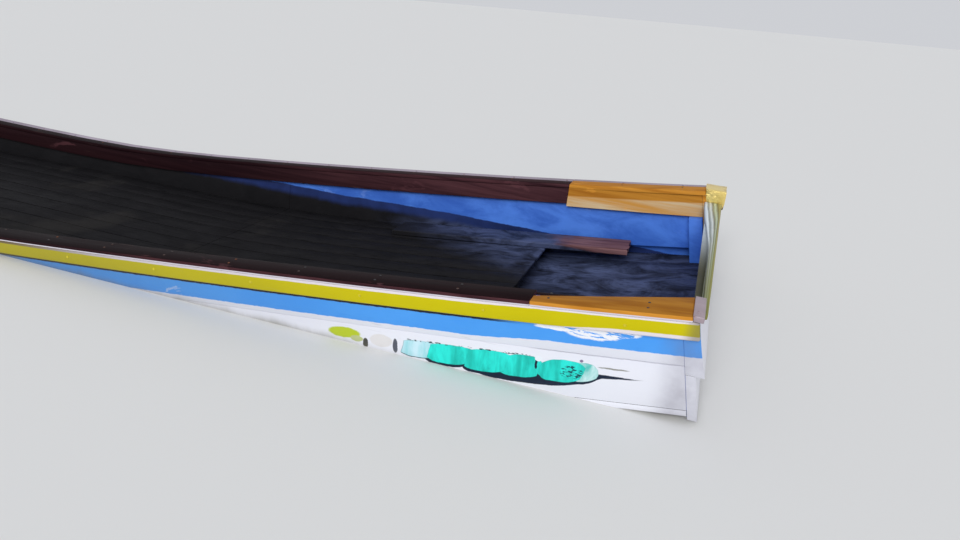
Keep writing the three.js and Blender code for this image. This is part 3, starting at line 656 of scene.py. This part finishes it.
def timber(name, light, dark, roughness):
    """Bare wood with its grain along the boat."""
    material, tree, shader, spot = new_material(name, roughness)
    grain = place(tree, GRAIN, Vector=spot, Across=45.0)
    scuffs = place(tree, SCUFFS, Vector=spot, Amount=0.4)
    colour = mixed(tree, step(tree, grain["Fibres"], *CONTRAST), dark, light)
    colour = mixed(tree, times(tree, grain["Pores"], 0.5), colour, dulled(dark, 0.4))
    worn = sum_up(tree, "MAXIMUM", times(tree, scuffs["Patches"], 0.6), scuffs["Scratches"])
    colour = mixed(tree, worn, colour, (0.3, 0.24, 0.2))
    height = minus(tree, grain["Fibres"], times(tree, grain["Pores"], 0.3))
    finish_shader(tree, shader, colour, height, 0.4, scaled(tree, grain["Fibres"], 0.25, roughness - 0.1))
    return material


def plank_paint(tree, spot, colour, edge):
    """The white line that edges a gunwale: on its outer face, and over its top as far in as edge."""
    down, inset, _ = own_map(tree, "hull")
    white = mixed(tree, noise(tree, spot, 8.0, 4), (0.62, 0.56, 0.66), (0.86, 0.82, 0.88))
    rubbed = mixed(tree, noise(tree, spot, 2.5, 5), (0.12, 0.09, 0.11), (0.62, 0.54, 0.64))
    colour = mixed(tree, step(tree, inset, edge - 0.002, edge + 0.002, 1.0, 0.0), colour, rubbed)
    side_line = times(tree, step(tree, down, 0.011, 0.0125), step(tree, inset, 0.0, 0.002, 1.0, 0.0))
    return mixed(tree, side_line, colour, white)


def gunwale_timber(name, light, dark, edge, top_shade, low_light=None):
    """Oiled or varnished plank: painted shade darkens it aft and on its top faces, and it is paler low down where
    low_light says so.
    """
    material, tree, shader, spot = new_material(name, 0.4, specular=0.02)
    facing = split(tree, tree.nodes.new("ShaderNodeTexCoord").outputs["Normal"])[2]
    grain = place(tree, GRAIN, Vector=spot, Across=34.0)
    scuffs = place(tree, SCUFFS, Vector=spot, Amount=0.5)
    fibres = step(tree, grain["Fibres"], *CONTRAST)
    colour = mixed(tree, fibres, dark, light)
    if low_light:
        low = step(tree, own_map(tree, "hull")[0], 0.052, 0.060)
        colour = mixed(tree, low, colour, mixed(tree, fibres, light, low_light))
    # Painted shade: the plank darkens towards the stern.
    gunwale_aft_shade = step(tree, split(tree, spot)[0], 0.8, 2.6, 0.85, 0.0)
    colour = mixed(tree, gunwale_aft_shade, colour, dulled(dark, 0.3))
    # Painted shade: the top faces are darker than the sides, as much as top_shade says, the near gunwale more.
    shaded_top = times(tree, step(tree, facing, 0.5, 0.9), top_shade)
    colour = mixed(tree, shaded_top, colour, dulled(dark, 0.2))
    colour = mixed(tree, times(tree, scuffs["Patches"], 0.35), colour, dulled(light, 1.5))
    colour = mixed(tree, times(tree, scuffs["Scratches"], 0.4), colour, (0.3, 0.2, 0.16))
    colour = plank_paint(tree, spot, colour, edge)
    finish_shader(tree, shader, colour, grain["Fibres"], 0.4, scaled(tree, grain["Fibres"], 0.3, 0.3))
    return material


TIDE = {"start": 1.7, "end": 2.5, "aft": 0.268, "fore": 0.286}


def lining_paint():
    """Bright blue inside paint, clouded with scuffs; below the tide mark a dark blue band, a painted reflection
    of the blue wall in the water, then soaked dark.
    """
    material, tree, shader, spot = new_material("lining paint", 0.5, specular=0.15)
    along = split(tree, spot)[0]
    scuffs = place(tree, SCUFFS, Vector=spot, Amount=0.5)
    cloud = noise(tree, stretched(tree, spot, (1.0, 1.0, 2.0)), 4.0, 6, 0.65, 0.5)
    blue = mixed(tree, step(tree, cloud, *CONTRAST), (0.037, 0.128, 0.54), (0.084, 0.240, 0.79))
    blue = mixed(tree, times(tree, scuffs["Patches"], 0.3), blue, (0.22, 0.36, 0.80))
    blue = mixed(tree, times(tree, scuffs["Scratches"], 0.6), blue, (0.02, 0.05, 0.2))
    wet = place(tree, GRIME, Vector=spot, Height=from_aft(tree, along, TIDE), Depth=0.006, Ragged=0.022)["Mask"]
    # Painted reflection: a dark blue band under the tide mark, as the wall mirrored in water would look.
    reflected_navy = mixed(tree, noise(tree, spot, 9.0, 4), (0.008, 0.014, 0.050), (0.030, 0.055, 0.210))
    low = from_aft(tree, along, TIDE, 0.030)
    lower = place(tree, GRIME, Vector=spot, Height=low, Depth=0.035, Ragged=0.045)["Mask"]
    soaked_colour = mixed(tree, lower, reflected_navy, place(tree, SOAKING, Vector=spot)["Colour"])
    colour = mixed(tree, wet, blue, soaked_colour)
    finish_shader(tree, shader, colour, fibres_of(tree, spot, 26.0), 0.3, scaled(tree, wet, -0.15, 0.5))
    return material


def wet_boards():
    """Soaked boards, smoother where the wet stood, with mud dried in the grain."""
    material, tree, shader, spot = new_material("wet boards", 0.55, specular=0.015)
    grain = place(tree, GRAIN, Vector=spot, Across=36.0)
    pools = noise(tree, spot, 2.2, 4)
    colour = place(tree, SOAKING, Vector=spot)["Colour"]
    colour = mixed(tree, times(tree, grain["Pores"], 0.6), colour, (0.004, 0.004, 0.005))
    mud = times(tree, step(tree, pools, 0.55, 0.7), 0.35)
    colour = mixed(tree, mud, colour, (0.040, 0.037, 0.034))
    finish_shader(tree, shader, colour, grain["Fibres"], 0.5, step(tree, pools, 0.35, 0.7, 0.45, 0.7))
    return material


def half_sunk_plank():
    """The loose board: reddish where it is dry, soaked dark below the tide mark."""
    material, tree, shader, spot = new_material("half-sunk plank", 0.5, specular=0.1)
    grain = place(tree, GRAIN, Vector=spot, Across=40.0)
    dry = mixed(tree, step(tree, grain["Fibres"], *CONTRAST), (0.085, 0.032, 0.035), (0.24, 0.125, 0.130))
    wet = place(tree, GRIME, Vector=spot, Height=TIDE["fore"] + 0.018, Depth=0.014, Ragged=0.03)["Mask"]
    colour = mixed(tree, wet, dry, place(tree, SOAKING, Vector=spot)["Colour"])
    finish_shader(tree, shader, colour, grain["Fibres"], 0.5)
    return material


def end_paint():
    """White end boards, dulled near the water."""
    material, tree, shader, spot = new_material("end board paint", 0.4, specular=0.3)
    scuffs = place(tree, SCUFFS, Vector=stretched(tree, spot, (2.0, 1.0, 2.0)), Amount=0.45)
    colour = mixed(tree, noise(tree, spot, 3.5, 5), (0.70, 0.71, 0.78), (0.86, 0.86, 0.92))
    colour = mixed(tree, times(tree, scuffs["Patches"], 0.35), colour, (0.52, 0.51, 0.53))
    colour = mixed(tree, times(tree, scuffs["Scratches"], 0.5), colour, SCRATCHED)
    stain = place(tree, GRIME, Vector=spot, Height=WATER + 0.05, Depth=0.06, Ragged=0.05)["Mask"]
    colour = mixed(tree, times(tree, stain, 0.6), colour, (0.2, 0.2, 0.17))
    across = noise(tree, stretched(tree, spot, (30.0, 1.2, 30.0)), 1.0, 5)
    finish_shader(tree, shader, colour, across, 0.3)
    return material


STRIPES = rows(
    "at colour",
    (0.00, (0.42, 0.50, 0.60)),
    (0.11, (0.76, 0.84, 0.90)),
    (0.20, (0.16, 0.19, 0.20)),
    (0.34, (0.64, 0.70, 0.72)),
    (0.46, (0.10, 0.11, 0.08)),
    (0.60, (0.50, 0.60, 0.44)),
    (0.74, (0.10, 0.09, 0.03)),
    (0.88, (0.44, 0.40, 0.13)),
    (1.00, (0.24, 0.20, 0.06)),
)


def board_top_paint():
    """Top of the end boards beside their cap: pale to port, and very dark to starboard as painted shade."""
    material, tree, shader, spot = new_material("board top paint", 0.5, specular=0.2)
    cloud = noise(tree, spot, 20.0, 4)
    pale = mixed(tree, cloud, (0.42, 0.48, 0.54), (0.62, 0.68, 0.74))
    starboard_shade = mixed(tree, cloud, (0.020, 0.020, 0.010), (0.070, 0.070, 0.025))
    # Painted shade: the starboard half is very dark and dull green.
    colour = mixed(tree, step(tree, split(tree, spot)[1], -0.25, 0.35), starboard_shade, pale)
    finish_shader(tree, shader, colour, cloud, 0.2)
    return material


def striped_paint():
    """Pale painted stripes that run from side to side and close up to starboard, where painted shade dulls them.
    """
    material, tree, shader, spot = new_material("cap stripes", 0.45, specular=0.25)
    part = scaled(tree, wander(tree, spot, 9.0), 0.10, own_map(tree, "stripes")[0])
    ramp = tree.nodes.new("ShaderNodeValToRGB")
    link(tree, part, ramp.inputs[0])
    marks = ramp.color_ramp.elements
    while len(marks) < len(STRIPES):
        marks.new(0.5)
    for mark, row in zip(marks, STRIPES):
        mark.position = row["at"]
        mark.color = (*row["colour"], 1)
    # Painted shade: the stripes dull towards starboard.
    starboard_shade = step(tree, split(tree, spot)[1], -0.45, 0.35, 0.75, 0.0)
    colour = mixed(tree, starboard_shade, ramp.outputs[0], (0.22, 0.22, 0.05))
    scuffs = place(tree, SCUFFS, Vector=spot, Amount=0.5)
    colour = mixed(tree, times(tree, scuffs["Patches"], 0.4), colour, (0.12, 0.11, 0.10))
    finish_shader(tree, shader, colour, noise(tree, spot, 60.0, 3), 0.2)
    return material


def metal(name, light, dark, roughness, metallic, rust=0.0, dents=0.0):
    """Bare or painted metal with stains; rust spreads from blotches."""
    material, tree, shader, spot = new_material(name, roughness, metallic)
    colour = mixed(tree, noise(tree, spot, 14.0, 5, 0.6), dark, light)
    scuffs = place(tree, SCUFFS, Vector=stretched(tree, spot, (2.0, 2.0, 2.0)), Amount=0.8)
    bright = tuple(min(1, channel) for channel in dulled(light, 1.8))
    colour = mixed(tree, times(tree, scuffs["Scratches"], 0.6), colour, bright)
    spread = None
    if rust:
        blotch = noise(tree, spot, 9.0, 7, 0.7, 0.4)
        rusty = step(tree, blotch, 0.62 - 0.3 * rust, 0.72 - 0.3 * rust)
        rust_colour = mixed(tree, noise(tree, spot, 40.0, 4), (0.07, 0.020, 0.008), (0.28, 0.09, 0.03))
        colour = mixed(tree, rusty, colour, rust_colour)
        spread = scaled(tree, rusty, 0.8 - roughness, roughness)
        link(tree, times(tree, minus(tree, 1.0, rusty), metallic), shader.inputs["Metallic"])
    bumpy = scaled(tree, noise(tree, spot, 22.0, 2), dents, noise(tree, spot, 120.0, 3))
    finish_shader(tree, shader, colour, bumpy, 0.15 + 0.2 * dents, spread, 0.001 + 0.004 * dents)
    return material


side_material = side_paint()
yellow = rail_paint()
BROWN = ((0.095, 0.036, 0.042), (0.030, 0.011, 0.015))
ORANGE = ((0.72, 0.32, 0.045), (0.44, 0.16, 0.018))
PALE_ORANGE = (0.80, 0.66, 0.42)
NO_EDGE = -1.0
browns = {
    "port": gunwale_timber("far gunwale timber", *BROWN, 0.028, 0.6),
    "starboard": gunwale_timber("near gunwale timber", *BROWN, NO_EDGE, 0.9),
}
oranges = {
    "port": gunwale_timber("far varnished timber", *ORANGE, 0.012, 0.3, PALE_ORANGE),
    "starboard": gunwale_timber("near varnished timber", *ORANGE, NO_EDGE, 0.45, PALE_ORANGE),
}
inner_blue = lining_paint()
soaked = wet_boards()
end_white = end_paint()
cap_edge_paint = board_top_paint()
bare = timber("bare timber", (0.26, 0.15, 0.10), (0.10, 0.05, 0.035), 0.65)
HULL_WHITE = ((0.55, 0.54, 0.50), (0.32, 0.31, 0.26))
hull_white = flat_paint("bottom paint", *HULL_WHITE, 0.7, (0.14, 0.12, 0.09), 0.55, 0.0)
yellow_bolt = flat_paint("bolt paint", (0.66, 0.56, 0.005), (0.54, 0.46, 0.004), 0.3, (0.45, 0.38, 0.05))
gilt = metal("gilt sheet", (0.98, 0.80, 0.30), (0.84, 0.60, 0.16), 0.28, 0.7, dents=0.9)
grey_plate = metal("dull plate", (0.52, 0.42, 0.46), (0.26, 0.20, 0.23), 0.5, 0.2, rust=0.1)
iron = metal("black iron", (0.045, 0.045, 0.05), (0.02, 0.02, 0.022), 0.5, 0.5, rust=0.45)
enamel = metal("engine enamel", (0.10, 0.18, 0.14), (0.05, 0.09, 0.07), 0.4, 0.1, rust=0.2)
steel = metal("bare metal", (0.42, 0.43, 0.45), (0.24, 0.24, 0.25), 0.38, 0.9, rust=0.15)
rusted = metal("rusted pipe", (0.16, 0.07, 0.04), (0.06, 0.03, 0.02), 0.75, 0.3, rust=0.9)
red = metal("red enamel", (0.50, 0.035, 0.02), (0.34, 0.02, 0.012), 0.35, 0.1, rust=0.3)
bronze = metal("cast bronze", (0.55, 0.36, 0.14), (0.32, 0.20, 0.07), 0.3, 0.95)
rubber = metal("black rubber", (0.022, 0.022, 0.024), (0.010, 0.010, 0.011), 0.6, 0.0)

# Hull pieces

SOLE_BOARD = {"wide": 0.110, "gap": 0.007}
BOTTOM_BOARD = {"wide": 0.1825, "gap": 0.0003}
ANYWHERE = -9

for side, out in SIDES.items():
    inboard = [(inner_blue, (0, -out, 0), ANYWHERE)]
    soften("upper_strake_" + side, side_material, "blue_paint", 0.0015, others=inboard)
    soften("lower_strake_" + side, side_material, "white_paint", 0.0015, others=inboard)
    soften("rub_rail_" + side, yellow, "yellow_paint", 0.006, segments=3)
    soften("gunwale_" + side, browns[side], "brown_plank", 0.004)
    soften("gunwale_end_" + side, oranges[side], "varnished_wood", 0.004)
    soften("inwale_" + side, browns["starboard"], "brown_plank", 0.003)
    for length in LENGTHS:
        soften("_".join(["lining", side, length]), inner_blue, "inner_blue_paint", 0.002)
for length in LENGTHS:
    sole = "sole_" + length
    finish_node(sole, sawn(sole, **SOLE_BOARD), soaked, "wet_wood", 0.0025)
    soften("floor_timbers_" + length, soaked, "wet_wood", 0.003)


def painted_sides(beyond):
    """The outer ends of a cross board, painted as the sides are."""
    return [(side_material, (0, out, 0), beyond) for out in SIDES.values()]


under = [(hull_white, (0, 0, -1), ANYWHERE), *painted_sides(0.45)]
bottom_boards = sawn("bottom_planking", **BOTTOM_BOARD, others=under)
finish_node("bottom_planking", bottom_boards, soaked, "white_paint", 0.0015, others=under)
for runner in ("keel_runner", "bilge_runner_port", "bilge_runner_starboard"):
    soften(runner, bare, "plain_wood", 0.004)
soften("driver_seat", bare, "plain_wood", 0.004)
transom_faces = [(inner_blue, (1, 0, 0), ANYWHERE), *painted_sides(0.5)]
soften("transom", end_white, "white_paint", 0.003, others=transom_faces)
soften("motor_beam", bare, "plain_wood", 0.006)
board_faces = [(inner_blue, (-1, 0, 0), ANYWHERE), (cap_edge_paint, UP, 0)]
board_faces += [(oranges["port"], (0, -1, 0), -0.66), *painted_sides(0.66)]
for board in ("end_board_lower", "end_board_upper"):
    soften(board, end_white, "white_paint", 0.002, others=board_faces)
for side in SIDES:
    soften("corner_post_" + side, inner_blue, "grey_paint", 0.003)
soften("corner_strip_starboard", grey_plate, "grey_plate", 0.003)


TEETH = 9
TOOTH_DEPTH = 0.035


def uneven(place_at):
    return abs(mathutils.noise.noise(place_at))


def split_end(bm, low, high):
    """Splinters the fore end of the loose board: cuts it into teeth and draws them back unevenly."""
    wide = (high.y - low.y) / TEETH
    for tooth in range(1, TEETH):
        cut_across(bm, (0, low.y + tooth * wide, 0), (0, 1, 0))
    for vert in bm.verts:
        if vert.co.x > high.x - 0.001:
            vert.co.x -= TOOTH_DEPTH * uneven(Vector((vert.co.y * 31, 0.4, vert.co.z * 9)))


loose = copy_of("loose_board")
split_end(loose, *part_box("loose_board"))
finish_node("loose_board", loose, half_sunk_plank(), "plain_wood", 0.002, segments=1)

CAP_AFT = [(-0.605, 3.636), (-0.346, 3.639), (-0.024, 3.641), (0.190, 3.630), (0.404, 3.614), (0.625, 3.607)]
CAP_FORE = [(-0.605, 3.658), (0.625, 3.680)]


def along_line(points, y):
    for (y0, x0), (y1, x1) in zip(points, points[1:]):
        if y <= y1 or (y1, x1) == points[-1]:
            return x0 + (x1 - x0) * (y - y0) / (y1 - y0)


def add_cap():
    """The bow cap, with a map that goes from nought at its aft edge to one at its fore edge."""
    bm = copy_of("bow_cap")
    round_edges(bm, 0.003)
    layer = bm.loops.layers.uv.new("stripes")
    for face in bm.faces:
        for loop in face.loops:
            x, y, _ = loop.vert.co
            aft = along_line(CAP_AFT, y)
            loop[layer].uv = ((x - aft) / (along_line(CAP_FORE, y) - aft), y)
    finish_piece("bow-cap", bm, striped_paint(), replaced=["bow_cap"])


add_cap()


def dented(bm, cuts, depth, scale):
    """Pushes the surface in and out a little, as beaten sheet."""
    bmesh.ops.triangulate(bm, faces=bm.faces)
    bmesh.ops.subdivide_edges(bm, edges=bm.edges, cuts=cuts, use_grid_fill=True)
    bm.normal_update()
    for vert in bm.verts:
        vert.co -= vert.normal * depth * uneven(vert.co * scale)


shoe = copy_of("corner_shoe_port")
round_edges(shoe, 0.006)
dented(shoe, cuts=2, depth=0.006, scale=28)
lay_map(shoe)
finish_piece("corner-shoe-port", shoe, gilt, replaced=["corner_shoe_port"])

# Nails and bolts

UPRIGHT = Matrix.Identity(4)
NAILS = {"start": -4.6, "end": 3.5, "pitch": 0.27, "insets": (0.012, 0.048), "radius": 0.0045, "height": 0.0016}
RAIL_BOLTS = {"start": -4.55, "end": 3.45, "pitch": 0.4, "down": 0.048, "proud": 0.0162}
HEAD_SIDES = 8


def add_head(bm, at, direction, radius, height, sides=HEAD_SIDES, domed=0.7, frame_at=UPRIGHT):
    """One nail or bolt head that stands on a surface, its foot sunk in it."""
    turn = Vector(direction).to_track_quat("Z", "Y").to_matrix().to_4x4()
    middle = Vector(at) + Vector(direction) * (height / 4)
    where = frame_at @ Matrix.Translation(middle) @ turn
    sizes = {"radius1": radius, "radius2": radius * domed, "depth": height}
    bmesh.ops.create_cone(bm, cap_ends=True, segments=sides, matrix=where, **sizes)


def stations(start, end, pitch):
    count = round((end - start) / pitch)
    return [start + (end - start) * part / count for part in range(count + 1)]


def stations_of(row):
    return stations(row["start"], row["end"], row["pitch"])


def add_nails():
    """Two nails through the gunwale at each station, and one bolt through the rail."""
    for side, out in SIDES.items():
        tops = bmesh.new()
        for x in stations_of(NAILS):
            for inset in NAILS["insets"]:
                at = (x, out * (half_beam(x) - inset), sheer(x))
                add_head(tops, at, UP, NAILS["radius"], NAILS["height"])
        finish_piece("gunwale-nails-" + side, tops, iron)
        rails = bmesh.new()
        for x in stations_of(RAIL_BOLTS):
            z = sheer(x) - RAIL_BOLTS["down"]
            add_head(rails, (x, out * (skin(x, z) + RAIL_BOLTS["proud"]), z), (0, out, 0), 0.006, 0.003)
        finish_piece("rail-bolts-" + side, rails, yellow_bolt)


add_nails()

# Motor pieces

MOTOR = rows(
    "node material slot body width",
    ("swivel_socket", iron, "black_iron", "hull", 0.002),
    ("swivel_yoke", iron, "black_iron", "swivel", 0.002),
    ("motor_frame", red, "red_paint", "motor", 0.002),
    ("engine_block", enamel, "engine_paint", "motor", 0.004),
    ("cylinder_head", steel, "bare_steel", "motor", 0.003),
    ("bell_housing", steel, "bare_steel", "motor", 0.003),
    ("intake", steel, "bare_steel", "motor", 0.002),
    ("exhaust", rusted, "rusty_steel", "motor", 0.002),
    ("belt_drive", iron, "black_iron", "motor", 0.001),
    ("fuel_tank", red, "red_paint", "motor", 0.004),
    ("tail_tube", steel, "bare_steel", "motor", 0.002),
    ("tiller", iron, "black_iron", "motor", 0.002),
    ("propeller", bronze, "bronze", "propeller", 0.001),
)
for row in MOTOR:
    soften(row["node"], row["material"], row["slot"], row["width"], body=row["body"])

# Small parts of the motor, in its own frame: +X forward from 0.1 aft of the tilt pin, tilted tail down

TILT_PIN = (-4.6, 0, 0.775)
BALANCE = 0.1
TAIL_DROP = math.radians(6)
DROPPED = Matrix.Rotation(-TAIL_DROP, 4, "Y")
MOTOR_AT = Matrix.Translation(TILT_PIN) @ DROPPED @ Matrix.Translation((-BALANCE, 0, 0))
SHAFT = 0.04
CYLINDERS = [0.250, 0.345, 0.440, 0.535]


def ring_of(radius, count, x, turn=0.0):
    """Places around the shaft's line at one x."""
    angles = [turn + 2 * math.pi * part / count for part in range(count)]
    return [(x, radius * math.cos(angle), SHAFT + radius * math.sin(angle)) for angle in angles]


def pairs(lengths, out, z):
    """Places at both sides of the motor's middle."""
    return [(x, y, z) for x in lengths for y in (-out, out)]


BOLTS = rows(
    "places way radius",
    (pairs((0.22, 0.56), 0.06, 0.338), UP, 0.007),
    (pairs((0.205, 0.297, 0.392, 0.487, 0.575), 0.076, 0.330), UP, 0.009),
    (ring_of(0.122, 10, 0.168, 0.3), (-1, 0, 0), 0.007),
    (ring_of(0.058, 6, -0.076), (-1, 0, 0), 0.006),
    (ring_of(0.050, 6, 0.651), (1, 0, 0), 0.007),
    ([(x, -0.0935, z) for x in CYLINDERS for z in (0.2785, 0.3065)], (0, -1, 0), 0.005),
    ([(x, 0.0935, z) for x in CYLINDERS for z in (0.2785, 0.3065)], (0, 1, 0), 0.005),
    (pairs((0.21, 0.30, 0.39, 0.48, 0.575), 0.098, -0.046), UP, 0.006),
    (pairs((0.224, 0.256, 0.524, 0.556), 0.144, 0.038), UP, 0.008),
    ([(0.7101, y, z) for y in (-0.092, -0.048) for z in (-0.02, 0.01)], (1, 0, 0), 0.006),
)
WASHER = {"wide": 1.5, "height": 0.003, "sides": 12, "domed": 0.95}
HEXAGON = {"high": 1.3, "sides": 6, "domed": 0.92}


def add_bolts():
    """Hexagon heads on washers; how wide and high they are goes by the bolt's radius."""
    bm = bmesh.new()
    for row in BOLTS:
        radius, way = row["radius"], row["way"]
        for at in row["places"]:
            washer = (radius * WASHER["wide"], WASHER["height"], WASHER["sides"], WASHER["domed"])
            add_head(bm, at, way, *washer, MOTOR_AT)
            top = Vector(at) + Vector(way) * (WASHER["height"] / 2)
            add_head(bm, top, way, radius, radius * HEXAGON["high"], HEXAGON["sides"], HEXAGON["domed"], MOTOR_AT)
    finish_piece("motor-bolts", bm, steel, "motor")


def tube(name, routes, radius, material):
    """Round bars or pipes along smooth routes in the motor's frame."""
    curve = bpy.data.curves.new(name, "CURVE")
    curve.dimensions = "3D"
    curve.bevel_depth = radius
    curve.bevel_resolution = 3
    curve.resolution_u = 8
    curve.use_fill_caps = True
    for route in routes:
        spline = curve.splines.new("NURBS")
        spline.points.add(len(route) - 1)
        for point, at in zip(spline.points, route):
            point.co = (*(MOTOR_AT @ Vector(at)), 1)
        spline.use_endpoint_u = True
        spline.order_u = 4
    holder = bpy.data.objects.new(name, curve)
    bm = bmesh.new()
    bm.from_mesh(bpy.data.meshes.new_from_object(holder))
    bpy.data.objects.remove(holder)
    bmesh.ops.remove_doubles(bm, verts=bm.verts, dist=1e-6)
    return finish_piece(name, bm, material, "motor")


DISTRIBUTOR = Vector((0.572, -0.132, 0.246))
FUEL_ROUTE = [
    (0.095, -0.090, 0.192), (0.095, -0.090, 0.160), (0.110, -0.120, 0.150), (0.200, -0.160, 0.190),
    (0.300, -0.180, 0.260), (0.350, -0.170, 0.330), (0.370, -0.170, 0.345), (0.385, -0.170, 0.350),
]
ROD_ROUTE = [
    (0.400, -0.228, 0.345), (0.430, -0.228, 0.320), (0.560, -0.190, 0.120), (0.690, -0.120, 0.060),
    (0.760, -0.090, 0.040), (0.860, -0.085, 0.070), (0.960, -0.083, 0.140), (1.300, -0.068, 0.206),
    (1.700, -0.056, 0.238), (1.880, -0.052, 0.262),
]


def lead_route(count, x):
    """A plug lead: up out of the distributor's cap, across, and down on to the plug at x."""
    start = DISTRIBUTOR + Vector((-0.012 * (count % 2), 0.012 * (count // 2), -0.004))
    rise = 0.035 + 0.010 * count
    out = [start, start + Vector((0, 0, rise * 0.8)), start + Vector((-0.01, 0, rise))]
    over = [(x + 0.02, -0.100, 0.405 - 0.004 * count), (x + 0.004, -0.078, 0.400)]
    return out + over + [(x, -0.071, 0.385), (x, -0.071, 0.360)]


def add_leads():
    """Plug leads, the fuel pipe and the throttle rod."""
    leads = [lead_route(count, x) for count, x in enumerate(CYLINDERS)]
    tube("plug-leads", leads, 0.0035, rubber)
    tube("fuel-pipe", [FUEL_ROUTE], 0.005, bronze)
    tube("throttle-rod", [ROD_ROUTE], 0.003, steel)


add_bolts()
add_leads()

# Floor at the waterline, open where the hull goes through it

FLOOR = 80.0
FLOOR_TURN = 5
FLOOR_PITCH = 0.1
FLOOR_SUNK = 0.002


def pale_floor():
    """A wide disc round the hull: its inner edge lies a little inside the skin, so that no gap shows."""
    bm = bmesh.new()
    past_bow = STERN + 0.02 + 82 * FLOOR_PITCH
    wet = [x for x in stations(STERN + 0.02, past_bow, FLOOR_PITCH) if bottom(x) < WATER]
    port = [(x, skin(x, WATER) - FLOOR_SUNK, WATER) for x in wet]
    starboard = [(x, -y, z) for x, y, z in reversed(port)]
    turns = [math.radians(angle) for angle in range(0, 360, FLOOR_TURN)]
    edge = [(FLOOR * math.cos(turn), FLOOR * math.sin(turn), WATER) for turn in turns]
    for ring in (port + starboard, edge):
        loop = [bm.verts.new(at) for at in ring]
        for first, second in zip(loop, loop[1:] + loop[:1]):
            bm.edges.new((first, second))
    bmesh.ops.triangle_fill(bm, use_beauty=True, use_dissolve=False, edges=bm.edges, normal=UP)
    mesh = mesh_of("pale floor", bm)
    floor = in_scene("pale floor", mesh)
    material, _, shader, _ = new_material("pale floor", 0.9, specular=0.1)
    shader.inputs["Base Color"].default_value = (0.74, 0.74, 0.73, 1)
    mesh.materials.append(material)


pale_floor()

# Light and camera

KEY_LIGHT = {"from": Vector((1.9, -6.8, 4.8)), "to": Vector((2.0, 0.0, 0.3)), "spread": 30, "strength": 1.62}
ROOM_LIGHT = {"colour": (0.93, 0.95, 1.0, 1), "strength": 0.66}

# The camera stands above the near side of the bow: its turn, dip and roll are in degrees
EYE = (3.551, -2.354, 1.331)
TURN, DIP, ROLL = (math.radians(angle) for angle in (17.95, 22.79, 4.956))
SENSOR = 36
FOCUS = 649.25 / 960  # focal length over the width of the picture


def add_key_light():
    """A light as from a large bright window far away: as strong at both ends of the boat."""
    data = bpy.data.lights.new("key light", "SUN")
    data.angle = math.radians(KEY_LIGHT["spread"])
    data.energy = KEY_LIGHT["strength"]
    light = in_scene("key light", data)
    light.location = KEY_LIGHT["from"]
    light.rotation_euler = (KEY_LIGHT["to"] - KEY_LIGHT["from"]).to_track_quat("-Z", "Y").to_euler()


def add_room_light():
    world = bpy.data.worlds.new("studio")
    world.use_nodes = True
    background = world.node_tree.nodes["Background"]
    background.inputs["Color"].default_value = ROOM_LIGHT["colour"]
    background.inputs["Strength"].default_value = ROOM_LIGHT["strength"]
    bpy.context.scene.world = world
    bpy.context.scene.view_settings.view_transform = "Standard"


def add_camera():
    data = bpy.data.cameras.new("camera")
    data.sensor_width = SENSOR
    data.lens = SENSOR * FOCUS
    camera = in_scene("camera", data)
    turned = Matrix.Rotation(TURN, 4, "Z") @ Matrix.Rotation(math.pi / 2 - DIP, 4, "X")
    turned = turned @ Matrix.Rotation(ROLL, 4, "Z")
    camera.matrix_world = Matrix.Translation(EYE) @ turned
    bpy.context.scene.camera = camera


add_key_light()
add_room_light()
add_camera()
